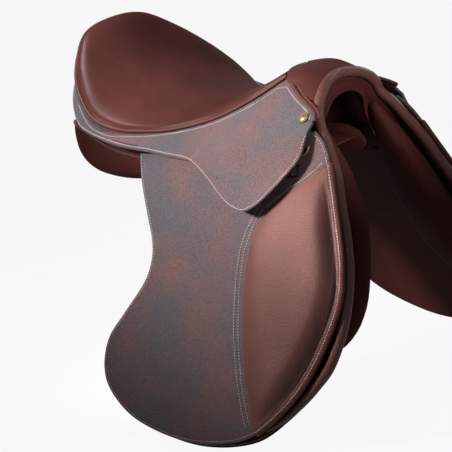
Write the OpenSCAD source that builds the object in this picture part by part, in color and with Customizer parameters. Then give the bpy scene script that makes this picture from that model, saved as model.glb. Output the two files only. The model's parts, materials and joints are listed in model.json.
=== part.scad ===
// Jumping saddle in brown leather: spring tree, padded seat, forward-cut flaps with outside knee pads.
// Frame: +X to the pommel, +Y to the near side, +Z up; the origin is on the line of the horse's spine.
// The off side (-Y) is modelled and the near side is its mirror image.

/* [Seat] */
// Height of the lowest point of the seat over the spine line
seat_low = 75; // [65:1:90]
// Length of the seat from the back of the cantle to its front corners
seat_len = 395; // [365:1:420]
// Distance from the origin back to the rear of the cantle
cantle_back = 247; // [232:1:255]
// Widest part of the seat, welt to welt
seat_w = 266; // [254:1:278]
// Rise of the cantle over the lowest point
cantle_rise = 112; // [96:1:128]
// Rise of the pommel over the lowest point
pommel_rise = 61; // [54:1:68]
// Height of the rolled rim over the welt, behind
rim_roll = 24; // [16:1:30]
// Thickness of the seat leather
cover_t = 2.5; // [1.5:0.1:3.5]
// Thickness of the seat foam on the centre line
foam_t = 24; // [16:1:30]
// Diameter of the piping
welt_d = 5; // [3:0.2:6]

/* [Side planes] */
// Distance of the side plane's reference point ahead of the origin
side_x = 100; // [90:1:110]
// Half spread of the side planes at the seat's lowest level
side_y = 90; // [86:1:98]
// Lean of the flaps out from the vertical, degrees
splay = 22; // [19:0.5:25]
// Turn of the flaps in towards the front, degrees
toe = 8; // [6:0.5:10]

/* [Flaps] */
// Width of the flap, front curve to rear bulge
flap_w = 378; // [360:1:396]
// Drop of the flap from the seat's lowest level to its lower edge
flap_h = 407; // [385:1:430]
// Thickness of the flap leather
flap_t = 3.5; // [2.5:0.1:4]
// Slope of the line that the flap bends along, degrees
fold_slope = 31.8; // [30:0.2:33]
// Swell of the knee pad over the flap
pad_swell = 19; // [12:0.5:24]
// Diameter of the rolled binding on the flap's front edge
binding_d = 8; // [6:0.2:10]
// Distance from the flap's inner face to the sweat flap
sweat_gap = 13; // [12.5:0.1:16]
// Thickness of the sweat flap
sweat_t = 3; // [2:0.1:4]

/* [Skirts] */
// Thickness of the skirt leather
skirt_t = 3; // [2:0.1:4]
// Height of the skirt behind the cantle
band_h = 40; // [32:1:46]
// Spread of the skirt under the waist of the seat
band_flare = 29; // [28:0.5:32]
// Length of the skirt's lobe along its fold
lobe_w = 185; // [170:1:195]
// Drop of the lobe below its fold
lobe_h = 82; // [70:1:84]
// Stand-off of the lobe from the side plane at its fold
lobe_gap = 11; // [10.5:0.1:13]
// Lean of the lobe out over the stirrup bar, degrees
lobe_lean = 6.5; // [6:0.25:9]

/* [Panels] */
// Length of the bearing panels
panel_len = 408; // [388:1:414]
// Depth of the panels below the seat's lowest level
panel_drop = 86; // [84:1:96]
// Half width of the gullet between the panels
gullet_half = 28; // [24:1:32]
// Thickness of the front panel behind the knee
front_panel_t = 42; // [34:1:50]
// Diameter of the roll round the front arch
roll_d = 13; // [10:0.5:15]

/* [Tree] */
// Thickness of the rails
rail_t = 10; // [7:0.5:12]
// Width of the rails behind
rail_w = 40; // [32:1:46]
// Width of the head, front to back
head_w = 36; // [30:1:40]
// Thickness of the head
head_t = 11; // [8:0.5:12]
// Thickness of the steel plates and springs
plate_t = 2.5; // [1.5:0.1:3]

/* [Fittings] */
// Length of the stirrup bar
bar_len = 96; // [88:1:100]
// Height of the stirrup bar
bar_h = 12; // [10:0.5:13]
// Thickness of the stirrup bar
bar_t = 5.6; // [5:0.1:6]
// Length of the safety catch
catch_len = 24; // [18:0.5:26]
// Radius of the catch's hinge pin
pin_r = 1.5; // [1:0.1:1.8]
// Width of a girth strap
strap_w = 25; // [20:1:28]
// Thickness of a girth strap
strap_t = 4; // [3:0.1:4.5]
// Length of a girth strap
strap_len = 270; // [230:1:280]
// Radius of a girth strap's holes
hole_r = 2.5; // [2:0.1:3]
// Holes in a girth strap
strap_holes = 7; // [3:1:8]
// Diameter of the stud on the skirt
stud_d = 14; // [10:0.5:16]
// Width of the front dee inside
dee_w = 17; // [14:0.5:18]
// Diameter of the dee's wire
dee_wire = 3.4; // [2.6:0.1:3.6]

/* [Hidden] */
$fn = 32;

// Clearance between neighbours that touch
gap = 0.4;
// Running clearance of the catch on its pin
running = 0.05;
// Overrun of the cuts
over = 1;
// Colours of the leather, thread and metal
seat_colour = "#4f2a25";
grain_colour = "#6a524f";
calf_colour = "#6b413a";
panel_colour = "#3d2120";
edge_colour = "#52302c";
brass_colour = "#b08d4a";
steel_colour = "#9a9da0";
wood_colour = "#c9a777";
foam_colour = "#d9d2b8";
web_colour = "#bfae8a";

// Vectors and smooth curves
function unit(v) = v / norm(v);
function flip_y(p) = [p.x, -p.y, p.z];
function mix(a, b, f) = a + (b - a) * f;
function both(h) = concat([for (i = [len(h) - 1:-1:0]) h[i]], [for (i = [1:len(h) - 1]) flip_y(h[i])]);
function smooth(a, b, c, d, f) =
    (2 * b + (c - a) * f + (2 * a - 5 * b + 4 * c - d) * f * f + (3 * b - a - 3 * c + d) * f * f * f) / 2;
function knot(p, i) =
    i < 0 ? 2 * p[0] - p[1] : i > len(p) - 1 ? 2 * p[len(p) - 1] - p[len(p) - 2] : p[i];
function curve_at(p, t) =
    let (i = min(floor(t), len(p) - 2))
    smooth(knot(p, i - 1), p[i], p[i + 1], knot(p, i + 2), t - i);
function curve(p, n) = [for (i = [0:n]) curve_at(p, i * (len(p) - 1) / n)];
function tangent(p, i) = unit(p[min(i + 1, len(p) - 1)] - p[max(i - 1, 0)]);

// The side plane: p runs forward, q up the plane and o outward
side_o = [side_x, -side_y, seat_low];
side_u = [cos(toe), sin(toe), 0];
side_v = [-sin(toe) * sin(splay), cos(toe) * sin(splay), cos(splay)];
side_n = [sin(toe) * cos(splay), -cos(toe) * cos(splay), sin(splay)];
function side_pt(p, q, o) = side_o + p * side_u + q * side_v + o * side_n;
module side_frame() translate(side_o) rotate([90 - splay, 0, toe]) children();
module near_side() mirror([0, 1, 0]) children();

// Half the seat's welt from the rear centre to the front corner, and the centre points its ribs start from:
// length, half width and height, then the rib's start and its height, then the height of the rolled rim
seat_shares = [
    [0.000, 0.000, 0.78, 0.301, 0.177, 1.00],
    [0.013, 0.421, 0.72, 0.304, 0.173, 0.96],
    [0.078, 0.722, 0.50, 0.316, 0.155, 0.80],
    [0.165, 0.917, 0.255, 0.339, 0.120, 0.60],
    [0.251, 1.000, 0.045, 0.372, 0.080, 0.42],
    [0.339, 0.940, -0.080, 0.423, 0.040, 0.32],
    [0.430, 0.797, -0.130, 0.499, 0.012, 0.27],
    [0.532, 0.650, -0.218, 0.580, 0.050, 0.27],
    [0.687, 0.504, 0.016, 0.704, 0.270, 0.27],
    [0.845, 0.421, 0.443, 0.823, 0.575, 0.22],
    [0.967, 0.248, 0.90, 0.929, 0.900, 0.10]];
// First row of the table whose heights follow the pommel
pommel_row = 7;
last_row = len(seat_shares) - 1;
function row_rise(i) = i < pommel_row ? cantle_rise : pommel_rise;
function seat_x(share) = share * seat_len - cantle_back;
welt_half = [for (i = [0:last_row]) let (s = seat_shares[i])
    [seat_x(s[0]), -s[1] * seat_w / 2, seat_low + s[2] * row_rise(i)]];
spine_half = [for (i = [0:last_row]) let (s = seat_shares[i])
    [seat_x(s[3]), 0, seat_low + s[4] * row_rise(i)]];
rim_half = [for (i = [0:last_row]) [0, 0, seat_shares[i][5] * rim_roll]];
welt_line = both(welt_half);
spine_line = both(spine_half);
rim_line = both(rim_half);
rib_count = len(welt_line) - 1;
function outward(i) = let (d = welt_half[i] - spine_half[i]) unit([d.x, d.y, 0]);

// Height and reach along a rib of the seat, from the centre to the welt
rib_reach_shares = [0, 0.5, 0.88, 0.97, 1];
rib_dish_share = 0.36;
rib_edge_share = 0.62;
function rib(t, inset) =
    let (w = curve_at(welt_line, t), s = curve_at(spine_line, t), r = curve_at(rim_line, t).z)
    let (rim_z = w.z + r, d = unit([s.x - w.x, s.y - w.y, 0]) * inset, r5 = rib_reach_shares)
    [[s.x, s.y, s.z - inset],
     [mix(s.x, w.x, r5[1]), mix(s.y, w.y, r5[1]), mix(s.z, rim_z, rib_dish_share) - inset],
     [mix(s.x, w.x, r5[2]) + d.x, mix(s.y, w.y, r5[2]) + d.y, rim_z - inset],
     [mix(s.x, w.x, r5[3]) + d.x, mix(s.y, w.y, r5[3]) + d.y, w.z + r * rib_edge_share - inset / 2],
     [w.x + d.x, w.y + d.y, w.z]];
function seat_grid(n, m, inset) =
    [for (j = [0:n]) let (r = rib(j * rib_count / n, inset)) curve(r, m)];

// A closed slab between two grids of points; a welded slab shares its first column across the middle
module slab(top, bottom, welded = false) {
    n = len(top);
    m = len(top[0]);
    row = function (j, k) (welded && k == 0) ? min(j, n - 1 - j) : j;
    at = function (side, j, k) side * n * m + row(j, k) * m + k;
    faces_flat = [for (j = [0:n - 2], k = [0:m - 2]) each [
        [at(0, j, k), at(0, j + 1, k + 1), at(0, j + 1, k)],
        [at(0, j, k), at(0, j, k + 1), at(0, j + 1, k + 1)],
        [at(1, j, k), at(1, j + 1, k), at(1, j + 1, k + 1)],
        [at(1, j, k), at(1, j + 1, k + 1), at(1, j, k + 1)]]];
    faces_outer = [for (j = [0:n - 2]) each [
        [at(0, j, m - 1), at(1, j + 1, m - 1), at(0, j + 1, m - 1)],
        [at(0, j, m - 1), at(1, j, m - 1), at(1, j + 1, m - 1)]]];
    faces_inner = welded ? [] : [for (j = [0:n - 2]) each [
        [at(0, j, 0), at(0, j + 1, 0), at(1, j + 1, 0)],
        [at(0, j, 0), at(1, j + 1, 0), at(1, j, 0)]]];
    faces_ends = [for (k = [0:m - 2]) each [
        [at(0, 0, k), at(1, 0, k + 1), at(0, 0, k + 1)],
        [at(0, 0, k), at(1, 0, k), at(1, 0, k + 1)],
        [at(0, n - 1, k), at(0, n - 1, k + 1), at(1, n - 1, k + 1)],
        [at(0, n - 1, k), at(1, n - 1, k + 1), at(1, n - 1, k)]]];
    keep = function (f) f[0] != f[1] && f[1] != f[2] && f[0] != f[2];
    faces = [for (f = concat(faces_flat, faces_outer, faces_inner, faces_ends)) if (keep(f)) f];
    polyhedron(points = concat([for (r = top) each r], [for (r = bottom) each r]), faces = faces);
}

// The normals of a grid, and the grid moved along them
function grid_normal(g, j, k) =
    let (n = len(g) - 1, m = len(g[0]) - 1)
    unit(cross(g[min(j + 1, n)][k] - g[max(j - 1, 0)][k], g[j][min(k + 1, m)] - g[j][max(k - 1, 0)]));
function grid_lift(g, d) =
    [for (j = [0:len(g) - 1]) [for (k = [0:len(g[0]) - 1]) g[j][k] + d * grid_normal(g, j, k)]];
function rows(g, a, b) = [for (j = [a:b]) g[j]];

// A closed skin over rings of points that turn right-handed about the way they run
module loft(rings) {
    n = len(rings);
    m = len(rings[0]);
    centre = function (r) [for (a = [0:2]) [for (p = r) 1] * [for (p = r) p[a]] / m];
    sides = [for (i = [0:n - 2], k = [0:m - 1]) let (l = (k + 1) % m) each [
        [i * m + k, (i + 1) * m + l, i * m + l],
        [i * m + k, (i + 1) * m + k, (i + 1) * m + l]]];
    start = [for (k = [0:m - 1]) [n * m, k, (k + 1) % m]];
    end = [for (k = [0:m - 1]) [n * m + 1, (n - 1) * m + (k + 1) % m, (n - 1) * m + k]];
    points = concat([for (r = rings) each r], [centre(rings[0]), centre(rings[n - 1])]);
    polyhedron(points = points, faces = concat(sides, start, end));
}
function round_ring(c, t, ref, r, sides) =
    let (e1 = unit(cross(ref, t)), e2 = cross(t, e1))
    [for (k = [0:sides - 1]) c + r * (cos(360 * k / sides) * e1 + sin(360 * k / sides) * e2)];
module cordlet(path, r, ref, sides = 8)
    loft([for (i = [0:len(path) - 1]) round_ring(path[i], tangent(path, i), ref, r, sides)]);
// Rounded box section with its middle at c, half sizes a and b along e1 and e2
ring_power_share = 0.62;
function puff(v) = sign(v) * pow(abs(v), ring_power_share);
function soft_ring(c, e1, e2, a, b, sides) =
    [for (k = [0:sides - 1]) c + a * puff(cos(360 * k / sides)) * e1 + b * puff(sin(360 * k / sides)) * e2];

// Seat: leather cover, foam and piping
seat_steps = 40;
rib_steps = 9;
module seat_cover()
    color(seat_colour)
    slab(seat_grid(seat_steps, rib_steps, 0), seat_grid(seat_steps, rib_steps, cover_t), true);

module seat_foam() {
    top = seat_grid(seat_steps, rib_steps, cover_t + gap);
    low = [for (j = [0:seat_steps]) let (t = j * rib_count / seat_steps)
        let (w = curve_at(welt_line, t), s = curve_at(spine_line, t) - [0, 0, foam_t])
        [for (k = [0:rib_steps]) let (f = k / rib_steps)
            [mix(s.x, top[j][rib_steps].x, f), mix(s.y, top[j][rib_steps].y, f),
             mix(s.z, w.z - cover_t, f)]]];
    color(foam_colour) slab(top, low, true);
}

welt_steps = 40;
welt_path = [for (j = [0:welt_steps])
    curve_at(welt_line, j * rib_count / welt_steps) - [0, 0, welt_d / 2 + gap]];
module seat_welt() color(edge_colour) cordlet(welt_path, welt_d / 2, [0, 0, 1], 6);

// Skirts: a band under the seat that spreads over the waist and meets the lobe at its fold
band_flare_shares = [0.4, 0.4, 0.4, 0.37, 0.3, 0.58, 1.15, 1.67];
band_drop_shares = [1, 1, 1, 0.95, 0.57, 0.39, 0.36, 0.46];
// Rear end of the lobe's fold in the side plane, and its slope
fold_rear_x = -68;
fold_rear_z = -44;
lobe_slope = 12.2;
lobe_fold_shares = [0, 0.49, 1];
function lobe_fold(f, o) =
    side_pt(fold_rear_x + f * lobe_w * cos(lobe_slope), fold_rear_z + f * lobe_w * sin(lobe_slope), o);
skirt_low_half = concat(
    [for (i = [0:pommel_row]) welt_half[i] + outward(i) * band_flare * band_flare_shares[i]
        - [0, 0, band_h * band_drop_shares[i]]],
    [for (f = lobe_fold_shares) lobe_fold(f, lobe_gap + skirt_t)]);
skirt_low_line = both(skirt_low_half);
// Along the lobe the lower edge is the straight fold
fold_rows = len(lobe_fold_shares) - 1;
function fold_share(t) =
    let (i = min(floor(t), fold_rows - 1))
    mix(lobe_fold_shares[fold_rows - i], lobe_fold_shares[fold_rows - i - 1], t - i);
function skirt_low(t) =
    t <= fold_rows ? lobe_fold(fold_share(t), lobe_gap + skirt_t)
    : t >= rib_count - fold_rows ? flip_y(lobe_fold(fold_share(rib_count - t), lobe_gap + skirt_t))
    : curve_at(skirt_low_line, t);
// The front edge bows forward of a straight line, most at its lower corner
edge_bow = [8, 0, 2];
corner_bow = [24, 0, 2];
function bow_line(b) = both([for (i = [0:last_row]) i == last_row ? b : [0, 0, 0]]);
edge_bow_line = bow_line(edge_bow);
corner_bow_line = bow_line(corner_bow);
skirt_steps = 40;
skirt_rows = 4;
function skirt_rib(t) =
    let (w = curve_at(welt_line, t) - [0, 0, welt_d + 2 * gap], e = skirt_low(t))
    [w, mix(w, e, 1 / 3) + curve_at(edge_bow_line, t), mix(w, e, 2 / 3) + curve_at(corner_bow_line, t), e];
skirt_grid = [for (j = [0:skirt_steps]) curve(skirt_rib(j * rib_count / skirt_steps), skirt_rows)];
// The lower edge is cut square to the side plane where it meets the lobe
fold_steps = fold_rows * skirt_steps / rib_count;
function skirt_normal(j, k) = j <= fold_steps && k == skirt_rows ? side_n : grid_normal(skirt_grid, j, k);
skirt_inner = [for (j = [0:skirt_steps]) [for (k = [0:skirt_rows])
    skirt_grid[j][k] - skirt_t * skirt_normal(j, k)]];
module skirt_off_side() slab(rows(skirt_grid, 0, skirt_steps / 2), rows(skirt_inner, 0, skirt_steps / 2));
module skirt_right() color(grain_colour) skirt_off_side();
module skirt_left() color(grain_colour) near_side() skirt_off_side();

// The lobe covers the stirrup bar and lifts on its fold
lobe_shares = [[0, 0], [0.03, 0.12], [0.12, 0.33], [0.27, 0.75], [0.36, 0.92], [0.46, 1], [0.6, 0.9],
               [0.8, 0.6], [0.93, 0.36], [0.975, 0.16], [1, 0]];
lobe_steps = 40;
lobe_edge = curve([for (s = lobe_shares) [s[0] * lobe_w, -s[1] * lobe_h - 2 * gap]], lobe_steps);
module lobe_frame()
    translate(lobe_fold(0, lobe_gap + skirt_t))
    rotate([90 - splay, 0, toe])
    rotate([0, 0, lobe_slope])
    rotate([-lobe_lean, 0, 0])
    children();
module lobe_off_side()
    lobe_frame()
    translate([0, 0, -skirt_t])
    linear_extrude(skirt_t)
    polygon(lobe_edge);
module skirt_lobe_right() color(grain_colour) lobe_off_side();
module skirt_lobe_left() color(grain_colour) near_side() lobe_off_side();

// Piping down the front edge of the skirt
front_welt_path = [for (k = [0:skirt_rows])
    skirt_grid[0][k] + unit(skirt_grid[0][k] - skirt_grid[1][k]) * (welt_d / 2 + 2 * gap)];
front_welt_end = 3;
module front_welt_off_side()
    cordlet([for (k = [0:front_welt_end]) front_welt_path[k]], welt_d / 2, [0, 1, 0], 6);
module front_welt_right() color(edge_colour) front_welt_off_side();
module front_welt_left() color(edge_colour) near_side() front_welt_off_side();

// Brass stud near the front corner of each skirt: its cell in the skirt's grid and its place in the cell
stud_row = 0;
stud_column = 2;
stud_row_share = 0.2;
stud_column_share = 0.75;
stud_h = 3.5;
stud_rim_share = 0.4;
function skirt_cell(a, b) =
    let (g = skirt_grid, j = stud_row, k = stud_column)
    mix(mix(g[j][k], g[j + 1][k], a), mix(g[j][k + 1], g[j + 1][k + 1], a), b);
module stud_off_side() {
    c = skirt_cell(stud_row_share, stud_column_share);
    n = unit(cross(skirt_cell(1, stud_column_share) - c, skirt_cell(stud_row_share, 1) - c));
    translate(c + n * 2 * gap)
    rotate([0, acos(n.z), atan2(n.y, n.x)]) {
        cylinder(h = stud_h * stud_rim_share, r = stud_d / 2);
        translate([0, 0, stud_h * stud_rim_share])
            cylinder(h = stud_h * (1 - stud_rim_share), r1 = stud_d / 2,
                     r2 = stud_d / 2 - stud_h * stud_rim_share);
    }
}
module stud_right() color(brass_colour) stud_off_side();
module stud_left() color(brass_colour) near_side() stud_off_side();

// Front arch: the line of the roll over the pommel and down the front of each panel
arch_x = 194;
arch_half = 57;
arch_rise = 50;
arch_shares = [[0, 0, 1], [0.07, 0.42, 0.93], [0.16, 0.74, 0.74], [0.2, 0.91, 0.5], [0.23, 1, 0.22]];
arch_side_shares = [[0.31, 0], [0.33, 0.05], [0.37, 0.13], [0.392, 0.21], [0.434, 0.317], [0.466, 0.437],
                    [0.458, 0.57], [0.418, 0.69]];
roll_o = -sweat_gap - sweat_t / 2;
arch_top = [for (s = arch_shares)
    [arch_x + s[0] * arch_half, -s[1] * arch_half, seat_low + s[2] * arch_rise]];
arch_half_line = concat(arch_top,
    [for (s = arch_side_shares) side_pt(s[0] * flap_w, -s[1] * flap_h, roll_o)]);
roll_steps = 60;
roll_path = curve(both(arch_half_line), roll_steps);
module front_roll() color(edge_colour) cordlet(roll_path, roll_d / 2, [1, 0, 0], 8);

// Pommel cap: smooth leather from the seat's front edge and the front piping to the roll
cap_steps = 24;
cap_rows = 5;
cap_crown = 5;
cap_back_rows = 3;
cap_clear = 4;
cap_tuck = 5;
cap_back_half = concat(
    [spine_half[last_row] + [cap_clear, 0, 0], welt_half[last_row] + [cap_clear, 0, 0]],
    [for (k = [1:cap_back_rows - 1]) front_welt_path[k] + [0, cap_tuck, 0]]);
cap_front_half = [for (p = arch_top) p + [-roll_d / 2 - 2 * gap, 0, roll_d / 4]];
cap_back_line = both(cap_back_half);
cap_front_line = both(cap_front_half);
cap_grid = [for (j = [0:cap_steps])
    let (b = curve_at(cap_back_line, j * (len(cap_back_line) - 1) / cap_steps))
    let (f = curve_at(cap_front_line, j * (len(cap_front_line) - 1) / cap_steps))
    [for (k = [0:cap_rows]) let (s = k / cap_rows)
        mix(f, b, s) + [0, 0, cap_crown * sin(180 * s) * max(0, sin(180 * j / cap_steps))]]];
cap_lift = grid_lift(cap_grid, -cover_t);
module pommel_cap() color(calf_colour) slab(cap_grid, cap_lift);

// Blank oval plate on the centre of the pommel
badge_l = 16;
badge_w = 8;
badge_t = 1.6;
badge_slope = 18;
module pommel_badge() {
    p = cap_grid[cap_steps / 2][cap_rows - 1];
    color(brass_colour)
    translate(p + [0, 0, 4 * gap])
    rotate([0, -badge_slope, 0])
    linear_extrude(badge_t)
    union() {
        square([badge_l - badge_w, badge_w], center = true);
        for (s = [-1, 1]) translate([s * (badge_l - badge_w) / 2, 0]) circle(d = badge_w);
    }
}

// Tree: rails that join behind the cantle, the head with its points, plates, springs and webs
rail_edge = 5;
rail_out_drop_shares = [0.4, 0.4, 0.4, 0.45, 0.45, 0.45, 0.55];
rail_out_shares = [[-0.325, 0.085], [-0.183, 0.066], [-0.032, 0.024], [0.106, 0.015]];
rail_in_shares = [1, 1, 1, 1, 1, 1, 0.9, 0.85, 0.85, 0.65, 0.2];
rail_in_drop_shares = [1.03, 1, 0.85, 0.7, 0.57, 0.45, 0.33, 0.35, 0.45, 0.45, 0.75];
rail_drop = 40;
rail_inset = 10.8;
// The head of the tree stands over the front of the flaps, and the rails end square against its back
head_x_share = 0.1905;
head_x = side_x + head_x_share * flap_w;
nose_clear = 8.6;
rail_nose = head_x - head_w / 2 - nose_clear;
function nosed(p, i) = i == last_row ? [rail_nose, p.y, p.z] : p;
rail_out_half = [for (i = [0:last_row]) nosed(i < pommel_row
    ? welt_half[i] - outward(i) * rail_edge - [0, 0, rail_drop * rail_out_drop_shares[i]]
    : let (s = rail_out_shares[i - pommel_row]) side_pt(s[0] * flap_w, -s[1] * flap_h, -rail_inset), i)];
rail_in_half = [for (i = [0:last_row]) nosed(
    welt_half[i] - outward(i) * rail_w * rail_in_shares[i] - [0, 0, rail_drop * rail_in_drop_shares[i]], i)];
rail_out_line = both(rail_out_half);
rail_in_line = both(rail_in_half);
rail_steps = 80;
function rail_ring(t) =
    let (o = curve_at(rail_out_line, t), i = curve_at(rail_in_line, t), d = [0, 0, rail_t])
    [i, i - d, o - d, o];
module tree_rails() color(wood_colour) loft([for (j = [0:rail_steps]) rail_ring(j * rib_count / rail_steps)]);

// A flat spring lies under each rail
spring_start = 2;
spring_end = 6;
spring_steps = 16;
spring_in_share = 0.25;
spring_out_share = 0.75;
function spring_ring(t) =
    let (r = rail_ring(t), a = [0, 0, 2 * gap], b = [0, 0, 2 * gap + plate_t])
    let (i = mix(r[1], r[2], spring_in_share), o = mix(r[1], r[2], spring_out_share))
    [i - a, i - b, o - b, o - a];
module spring_off_side()
    loft([for (j = [0:spring_steps]) spring_ring(mix(spring_start, spring_end, j / spring_steps))]);
module tree_spring_right() color(steel_colour) spring_off_side();
module tree_spring_left() color(steel_colour) near_side() spring_off_side();

// The head: an arch over the withers whose points run down inside the panels
head_half = 42;
head_rise = 39;
head_shares = [[0, 1], [0.57, 0.88], [1, 0.5]];
point_shares = [[0.18, 0], [0.164, 0.123], [0.148, 0.246]];
point_o = -sweat_gap - sweat_t - gap - head_t;
head_line = both(concat(
    [for (s = head_shares) [head_x, -s[0] * head_half, seat_low + s[1] * head_rise]],
    [for (s = point_shares) side_pt(s[0] * flap_w, -s[1] * flap_h, point_o)]));
head_steps = 30;
head_path = curve(head_line, head_steps);
function band_ring(p, i, x0, x1, h0, h1) =
    let (t = tangent(p, i), a = toe * (1 - 2 * i / head_steps), d = [cos(a), sin(a), 0])
    let (e = unit(d - t * (t * d)), n = cross(t, e))
    [for (c = [[x0, h0], [x1, h0], [x1, h1], [x0, h1]]) p[i] + e * c[0] + n * c[1]];
function head_band(a, b, x0, x1, h0, h1) = [for (i = [a:b]) band_ring(head_path, i, x0, x1, h0, h1)];
module tree_head()
    color(wood_colour) loft(head_band(0, head_steps, -head_w / 2, head_w / 2, -head_t / 2, head_t / 2));
plate_reach = 7;
plate_margin = 3;
module head_plate()
    color(steel_colour)
    loft(head_band(plate_reach, head_steps - plate_reach, head_w / 2 + gap, head_w / 2 + gap + plate_t,
                   -head_t / 2 + plate_margin / 2, head_t / 2 - plate_margin / 2));
module gullet_plate()
    color(steel_colour)
    loft(head_band(plate_reach, head_steps - plate_reach, plate_margin - head_w / 2, head_w / 2 - plate_margin,
                   head_t / 2 + 2 * gap, head_t / 2 + 2 * gap + plate_t));
rivet_r = 2.5;
rivet_h = 2;
rivet_places = [9, 12, 18, 21];
module tree_rivets()
    color(steel_colour)
    for (i = rivet_places)
        translate(head_path[i] + [head_w / 2 + 2 * gap + plate_t, 0, 0])
        rotate([0, 90, 0])
        cylinder(h = rivet_h, r = rivet_r);

// Leather under the arch of the head, with a facing up to the roll and a lip below the lining
lining_reach = 5;
lining_rise = 4;
lining_lip = 0.8;
lining_h = head_t / 2 + 4 * gap + plate_t;
lining_x = head_w / 2 + 3 * gap + plate_t + rivet_h;
function facing_ring(i) =
    band_ring(head_path, i, lining_x, lining_x + cover_t,
              -lining_rise * abs(2 * i / head_steps - 1), lining_h + cover_t + lining_lip);
module arch_lining()
    color(panel_colour)
    union() {
        loft(head_band(lining_reach, head_steps - lining_reach, -head_w / 2,
                       lining_x + cover_t / 2, lining_h, lining_h + cover_t));
        loft([for (i = [lining_reach:head_steps - lining_reach]) facing_ring(i)]);
    }

// Webs: one along the seat and two across the rails under it
web_t = 2;
web_w = 44;
seat_web_half = concat([for (i = [last_row:-1:0]) spine_half[i] - [0, 0, foam_t + gap + web_t]],
    [rail_in_half[0] + [plate_margin, 0, gap]]);
web_steps = 24;
seat_web_path = curve(seat_web_half, web_steps);
module seat_web()
    color(web_colour)
    loft([for (p = seat_web_path)
        [for (c = [[-1, 0], [-1, 1], [1, 1], [1, 0]]) p + [0, c[0] * web_w / 2, c[1] * web_t]]]);
cross_rows = [7, 8];
cross_half_share = 0.28;
cross_sag = 7;
cross_rail_share = 0.3;
function cross_half(t) = let (s = curve_at(spine_half, t), a = curve_at(rail_in_half, t))
    [[s.x, 0, s.z - foam_t - 2 * gap - 2 * web_t - cross_sag],
     a + [0, 0, 2 * gap],
     mix(a, curve_at(rail_out_half, t), cross_rail_share) + [0, 0, 2 * gap]];
module cross_webs()
    color(web_colour)
    for (i = cross_rows) {
        a = both(cross_half(i - cross_half_share));
        b = both(cross_half(i + cross_half_share));
        up = [0, 0, web_t];
        loft([for (k = [0:len(a) - 1]) [a[k], a[k] + up, b[k] + up, b[k]]]);
    }

// Bearing panels: length, inner and outer half width, then top and bottom below the seat's lowest level
panel_back = 228;
panel_shares = [
    [0.000, 1.71, 0.76, 0.10, 0.46],
    [0.035, 1.21, 0.90, 0.03, 0.79],
    [0.117, 1.00, 0.96, 0.10, 1.00],
    [0.239, 0.96, 0.92, 0.40, 1.05],
    [0.378, 0.96, 0.84, 0.553, 1.00],
    [0.527, 1.00, 0.73, 0.563, 0.95],
    [0.701, 1.07, 0.665, 0.553, 0.93],
    [0.826, 1.14, 0.60, 0.48, 0.91],
    [0.900, 1.21, 0.48, 0.40, 0.86],
    [0.963, 1.29, 0.385, 0.42, 0.79],
    [1.000, 1.43, 0.355, 0.51, 0.70]];
panel_steps = 24;
panel_sides = 16;
panel_line = curve(panel_shares, panel_steps);
function panel_ring(s) =
    let (y0 = -s[1] * gullet_half, y1 = -s[2] * seat_w / 2, z0 = -s[3] * panel_drop, z1 = -s[4] * panel_drop)
    soft_ring([s[0] * panel_len - panel_back, (y0 + y1) / 2, seat_low + (z0 + z1) / 2],
              [0, 1, 0], [0, 0, 1], (y0 - y1) / 2, (z0 - z1) / 2, panel_sides);
module panel_off_side() loft([for (s = panel_line) panel_ring(s)]);
module panel_right() color(calf_colour) panel_off_side();
module panel_left() color(calf_colour) near_side() panel_off_side();

// Front panels behind the knee: drop, rear edge ahead of the tree's point, front edge, thickness
front_panel_shares = [
    [-0.02, 0.181, 0.297, 0.25],
    [0.05, 0.170, 0.352, 0.45],
    [0.123, 0.164, 0.402, 0.65],
    [0.282, 0.159, 0.463, 0.95],
    [0.455, 0.181, 0.481, 1.00],
    [0.563, 0.218, 0.466, 0.90],
    [0.634, 0.265, 0.431, 0.60],
    [0.663, 0.299, 0.405, 0.24]];
point_clear = 30;
front_panel_steps = 18;
front_panel_o = roll_o - roll_d / 2 - gap;
front_panel_line = curve(front_panel_shares, front_panel_steps);
function front_panel_ring(s) =
    let (a = s[1] * flap_w + point_clear, b = s[2] * flap_w, h = s[3] * front_panel_t / 2)
    let (c = side_pt((a + b) / 2, -s[0] * flap_h, front_panel_o - h))
    soft_ring(c, side_u, side_n, (b - a) / 2, h, panel_sides);
module front_panel_off_side() loft([for (s = front_panel_line) front_panel_ring(s)]);
module front_panel_right() color(panel_colour) front_panel_off_side();
module front_panel_left() color(panel_colour) near_side() front_panel_off_side();

// Strip of leather over the gullet between the panels
strip_start_share = 0.1;
strip_end_share = 0.94;
strip_steps = 12;
strip_rise_share = 0.35;
module gullet_strip()
    color(panel_colour)
    loft([for (j = [0:strip_steps])
        let (f = mix(strip_start_share, strip_end_share, j / strip_steps))
        let (s = curve_at(panel_shares, f * (len(panel_shares) - 1)))
        let (y = s[1] * gullet_half - gap, z = seat_low - mix(s[3], s[4], strip_rise_share) * panel_drop)
        [for (c = [[-1, 0], [1, 0], [1, 1], [-1, 1]])
            [s[0] * panel_len - panel_back, c[0] * y, z + c[1] * cover_t]]]);

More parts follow.
